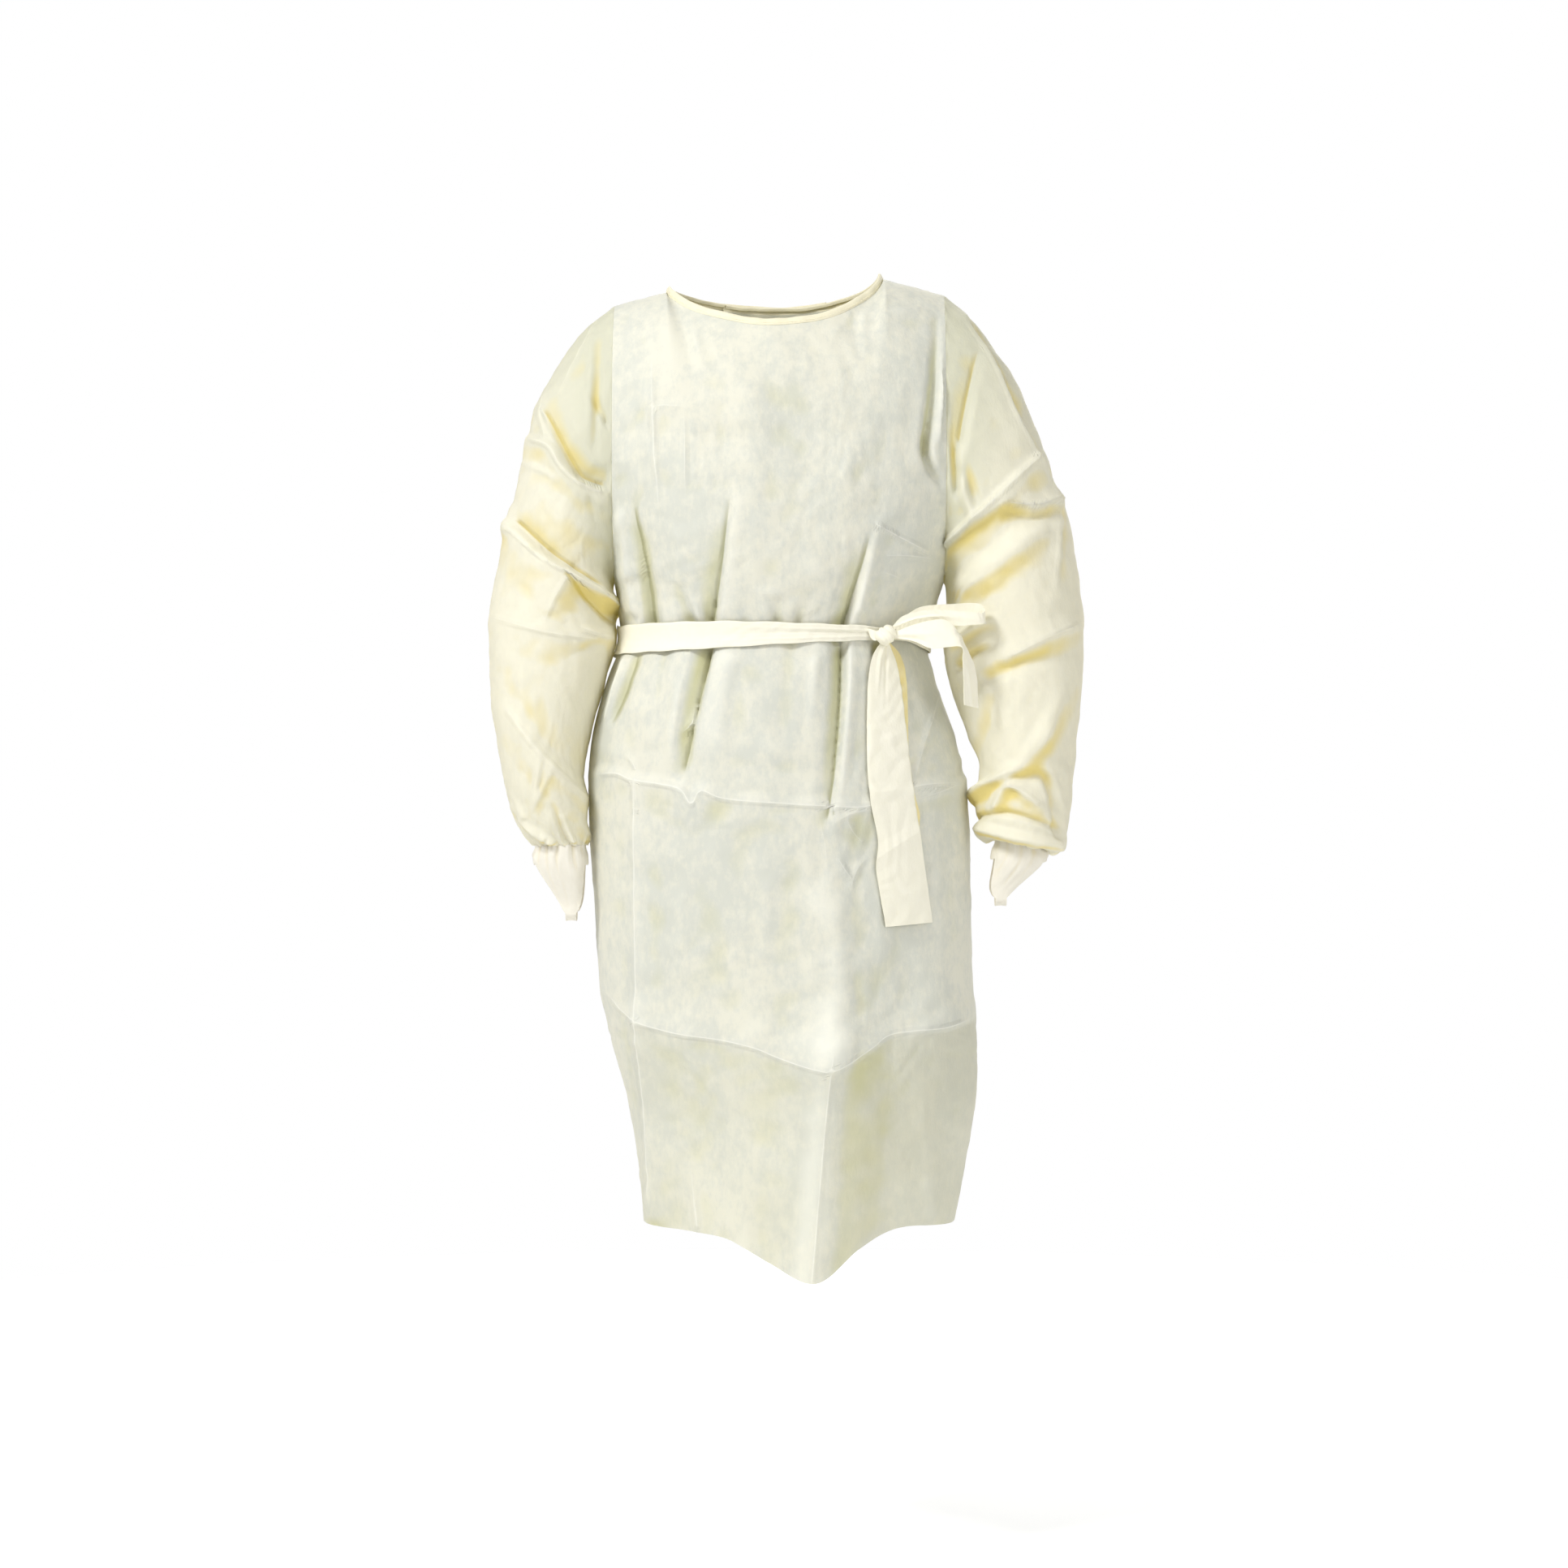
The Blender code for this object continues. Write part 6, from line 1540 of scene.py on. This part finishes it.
def knot_grid():
    """One turn of the crushed strip round itself: a barrel with pleats, closed at both ends."""
    axis = unit(KNOT_AXIS)
    front_way = unit(np.array((0.0, -1.0, 0.0)) + axis * axis[1])
    side_way = np.cross(axis, front_way)
    stations, turns = np.linspace(-1, 1, 61), np.linspace(0, 2 * np.pi, 96, endpoint=False)
    t, turn = np.meshgrid(stations, turns, indexing="ij")
    round_end = np.clip(1 - np.abs(t) ** 3.2, 0, 1) ** 0.5
    pleat = np.zeros_like(t)
    for place, depth, width in KNOT_PLEATS:
        shifted = place + 0.10 * np.sin(turn + 5 * place)
        pleat += KNOT_PLEAT_DEPTH * depth * np.clip(1 - np.abs(t - shifted) / width, 0, 1)
    pleat += 0.0004 * np.sin(3 * turn + 4 * t)
    wide = (KNOT_RADIUS * (1 - 0.10 * t) + pleat) * round_end
    deep = (KNOT_DEPTH + pleat) * round_end
    points = raised(np.array(KNOT), axis, t * KNOT_LENGTH)
    points = raised(points, side_way, np.cos(turn) * wide)
    return raised(points, front_way, np.sin(turn) * deep), pleat


points, height = knot_grid()
# Its pleats get painted shade in their hollows and a painted highlight on their ridges.
barrel = sheet_mesh("knot", points, cavity_of(height, tube=True) * BELT_CAVITY, tube=True)
mesh = joined("gown_belt_knot", [barrel], outwards=True)
belt_knot = cloth_object("gown_belt_knot", mesh, doubled_cloth, None)
print("knot:", len(mesh.polygons), "faces")

# %% [markdown]
# ## Each shell stands for its solid
# A shell rides on the one body and stands for its solid. Every piece of cloth also says the size it
# was cut to, so its worn area can be compared with its cut.

# %% Dress the solids
bpy.context.view_layer.update()


def measured(obj):
    """The area of one side of a finished piece, in square metres."""
    evaluated = obj.evaluated_get(bpy.context.evaluated_depsgraph_get())
    mesh = evaluated.to_mesh()
    area = sum(face.area for face in mesh.polygons) / 2
    evaluated.to_mesh_clear()
    return area


CLOTH, TRIM = "nonwoven_cloth", "nonwoven_trim"
# Each row: piece, solid, finish, width and length of the cut, its area in square metres, how it is held.
CUTS = (
    (front, "front", CLOTH, (0.60, 1.15), 0.555, "hung"),
    (backs["left"], "back_left", CLOTH, (0.37, 1.11), 0.335, "hung"),
    (backs["right"], "back_right", CLOTH, (0.37, 1.11), 0.335, "hung"),
    (sleeves["right"], "sleeve_right", CLOTH, (0.52, 0.62), 0.225, "gathered"),
    (sleeves["left"], "sleeve_left", CLOTH, (0.54, 0.64), 0.245, "gathered"),
    (cuffs["right"], "cuff_right", CLOTH, (0.19, 0.11), 0.0092, "gathered"),
    (cuffs["left"], "cuff_left", CLOTH, (0.19, 0.11), 0.0085, "gathered"),
    (binding, "neck_binding", TRIM, (0.020, 0.78), 0.0125, "folded"),
    (belt_front, "belt_front", TRIM, (0.050, 0.36), 0.0125, "folded"),
    (belt_back, "belt_back", TRIM, (0.050, 0.52), 0.0205, "folded"),
    (belt_loop, "belt_loop", TRIM, (0.030, 0.24), 0.0050, "folded"),
    (belt_tail_short, "belt_tail_short", TRIM, (0.050, 0.16), 0.0042, "hung"),
    (belt_tail_long, "belt_tail_long", TRIM, (0.070, 0.32), 0.0165, "hung"),
)
for obj, node, slot, flat, area, held in CUTS:
    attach(obj, BODY)
    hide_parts(node)
    print("%-24s cut %.4f m2, worn %.4f m2" % (obj.name, area, measured(obj)))
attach(belt_knot, BODY)
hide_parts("belt_knot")
for stitches in sewn_rows:
    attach(stitches, BODY)

# %% [markdown]
# ## Studio
# The photograph was lit by a big soft light from the upper left and a weak one from the right, in
# front of a pure white ground. Light also comes from behind, because thin cloth glows where it does.

# %% Floor, lights and camera
FLOOR_Z = -1.45          # a third of a metre below the hem
FLOOR_RADIUS = 2.6
PICTURE_MIDDLE = (0.0055, -0.574)    # X and Z that the camera looks at
CAMERA_Y = -4.0
FOCAL_LENGTH = 80.6      # millimetres, with a sensor of 36 mm
SENSOR = 36

made = bmesh.new()
bmesh.ops.create_circle(made, cap_ends=True, segments=96, radius=FLOOR_RADIUS)
floor_mesh = bpy.data.meshes.new("studio_floor")
made.to_mesh(floor_mesh)
made.free()
for vertex in floor_mesh.vertices:
    vertex.co.z = FLOOR_Z
floor = bpy.data.objects.new("studio_floor", floor_mesh)
bpy.context.scene.collection.objects.link(floor)
floor_mesh.materials.append(floor_paint)


def area_light(name, place, target, size, power):
    """A square softbox at a place, turned to a target. Its power is in watts."""
    light = bpy.data.lights.new(name, "AREA")
    light.size = size
    light.energy = power
    obj = bpy.data.objects.new(name, light)
    bpy.context.scene.collection.objects.link(obj)
    obj.location = place
    way = Vector(target) - Vector(place)
    obj.rotation_euler = way.to_track_quat("-Z", "Y").to_euler()
    obj.visible_camera = False


area_light("key_light", (-2.1, -2.0, 1.9), (0.0, 0.0, -0.35), 0.9, 106)
area_light("fill_light", (2.4, -2.9, 0.2), (0.0, 0.0, -0.5), 2.0, 36)
area_light("back_light", (0.6, 2.8, 0.8), (0.0, 0.0, -0.4), 2.4, 70)
print(len(bpy.data.lights), "lights, and the floor at Z = %.2f m" % FLOOR_Z)

# %% The white room
# The camera sees pure white behind the gown. The cloth gets a dimmer light from all round.
world = bpy.data.worlds.new("white_studio")
world.use_nodes = True
world.node_tree.nodes.clear()
bpy.context.scene.world = world
seen = add_node(world.node_tree, "ShaderNodeLightPath")
ground = add_node(world.node_tree, "ShaderNodeBackground", {"Color": srgb("#ffffff"), "Strength": 1.0})
room = add_node(world.node_tree, "ShaderNodeBackground", {"Color": srgb("#fdfdff"), "Strength": 0.52})
either = add_node(world.node_tree, "ShaderNodeMixShader",
                  {0: seen.outputs["Is Camera Ray"], 1: room.outputs[0], 2: ground.outputs[0]})
add_node(world.node_tree, "ShaderNodeOutputWorld", {"Surface": either.outputs[0]})

camera_data = bpy.data.cameras.new("studio_camera")
camera_data.sensor_width = SENSOR
camera_data.lens = FOCAL_LENGTH
camera_data.clip_end = 60
camera = bpy.data.objects.new("studio_camera", camera_data)
bpy.context.scene.collection.objects.link(camera)
camera.location = (PICTURE_MIDDLE[0], CAMERA_Y, PICTURE_MIDDLE[1])
camera.rotation_euler = (math.pi / 2, 0, 0)
bpy.context.scene.camera = camera
bpy.context.scene.view_settings.view_transform = "Standard"
print("the camera stands %.1f m in front of the gown" % -CAMERA_Y)
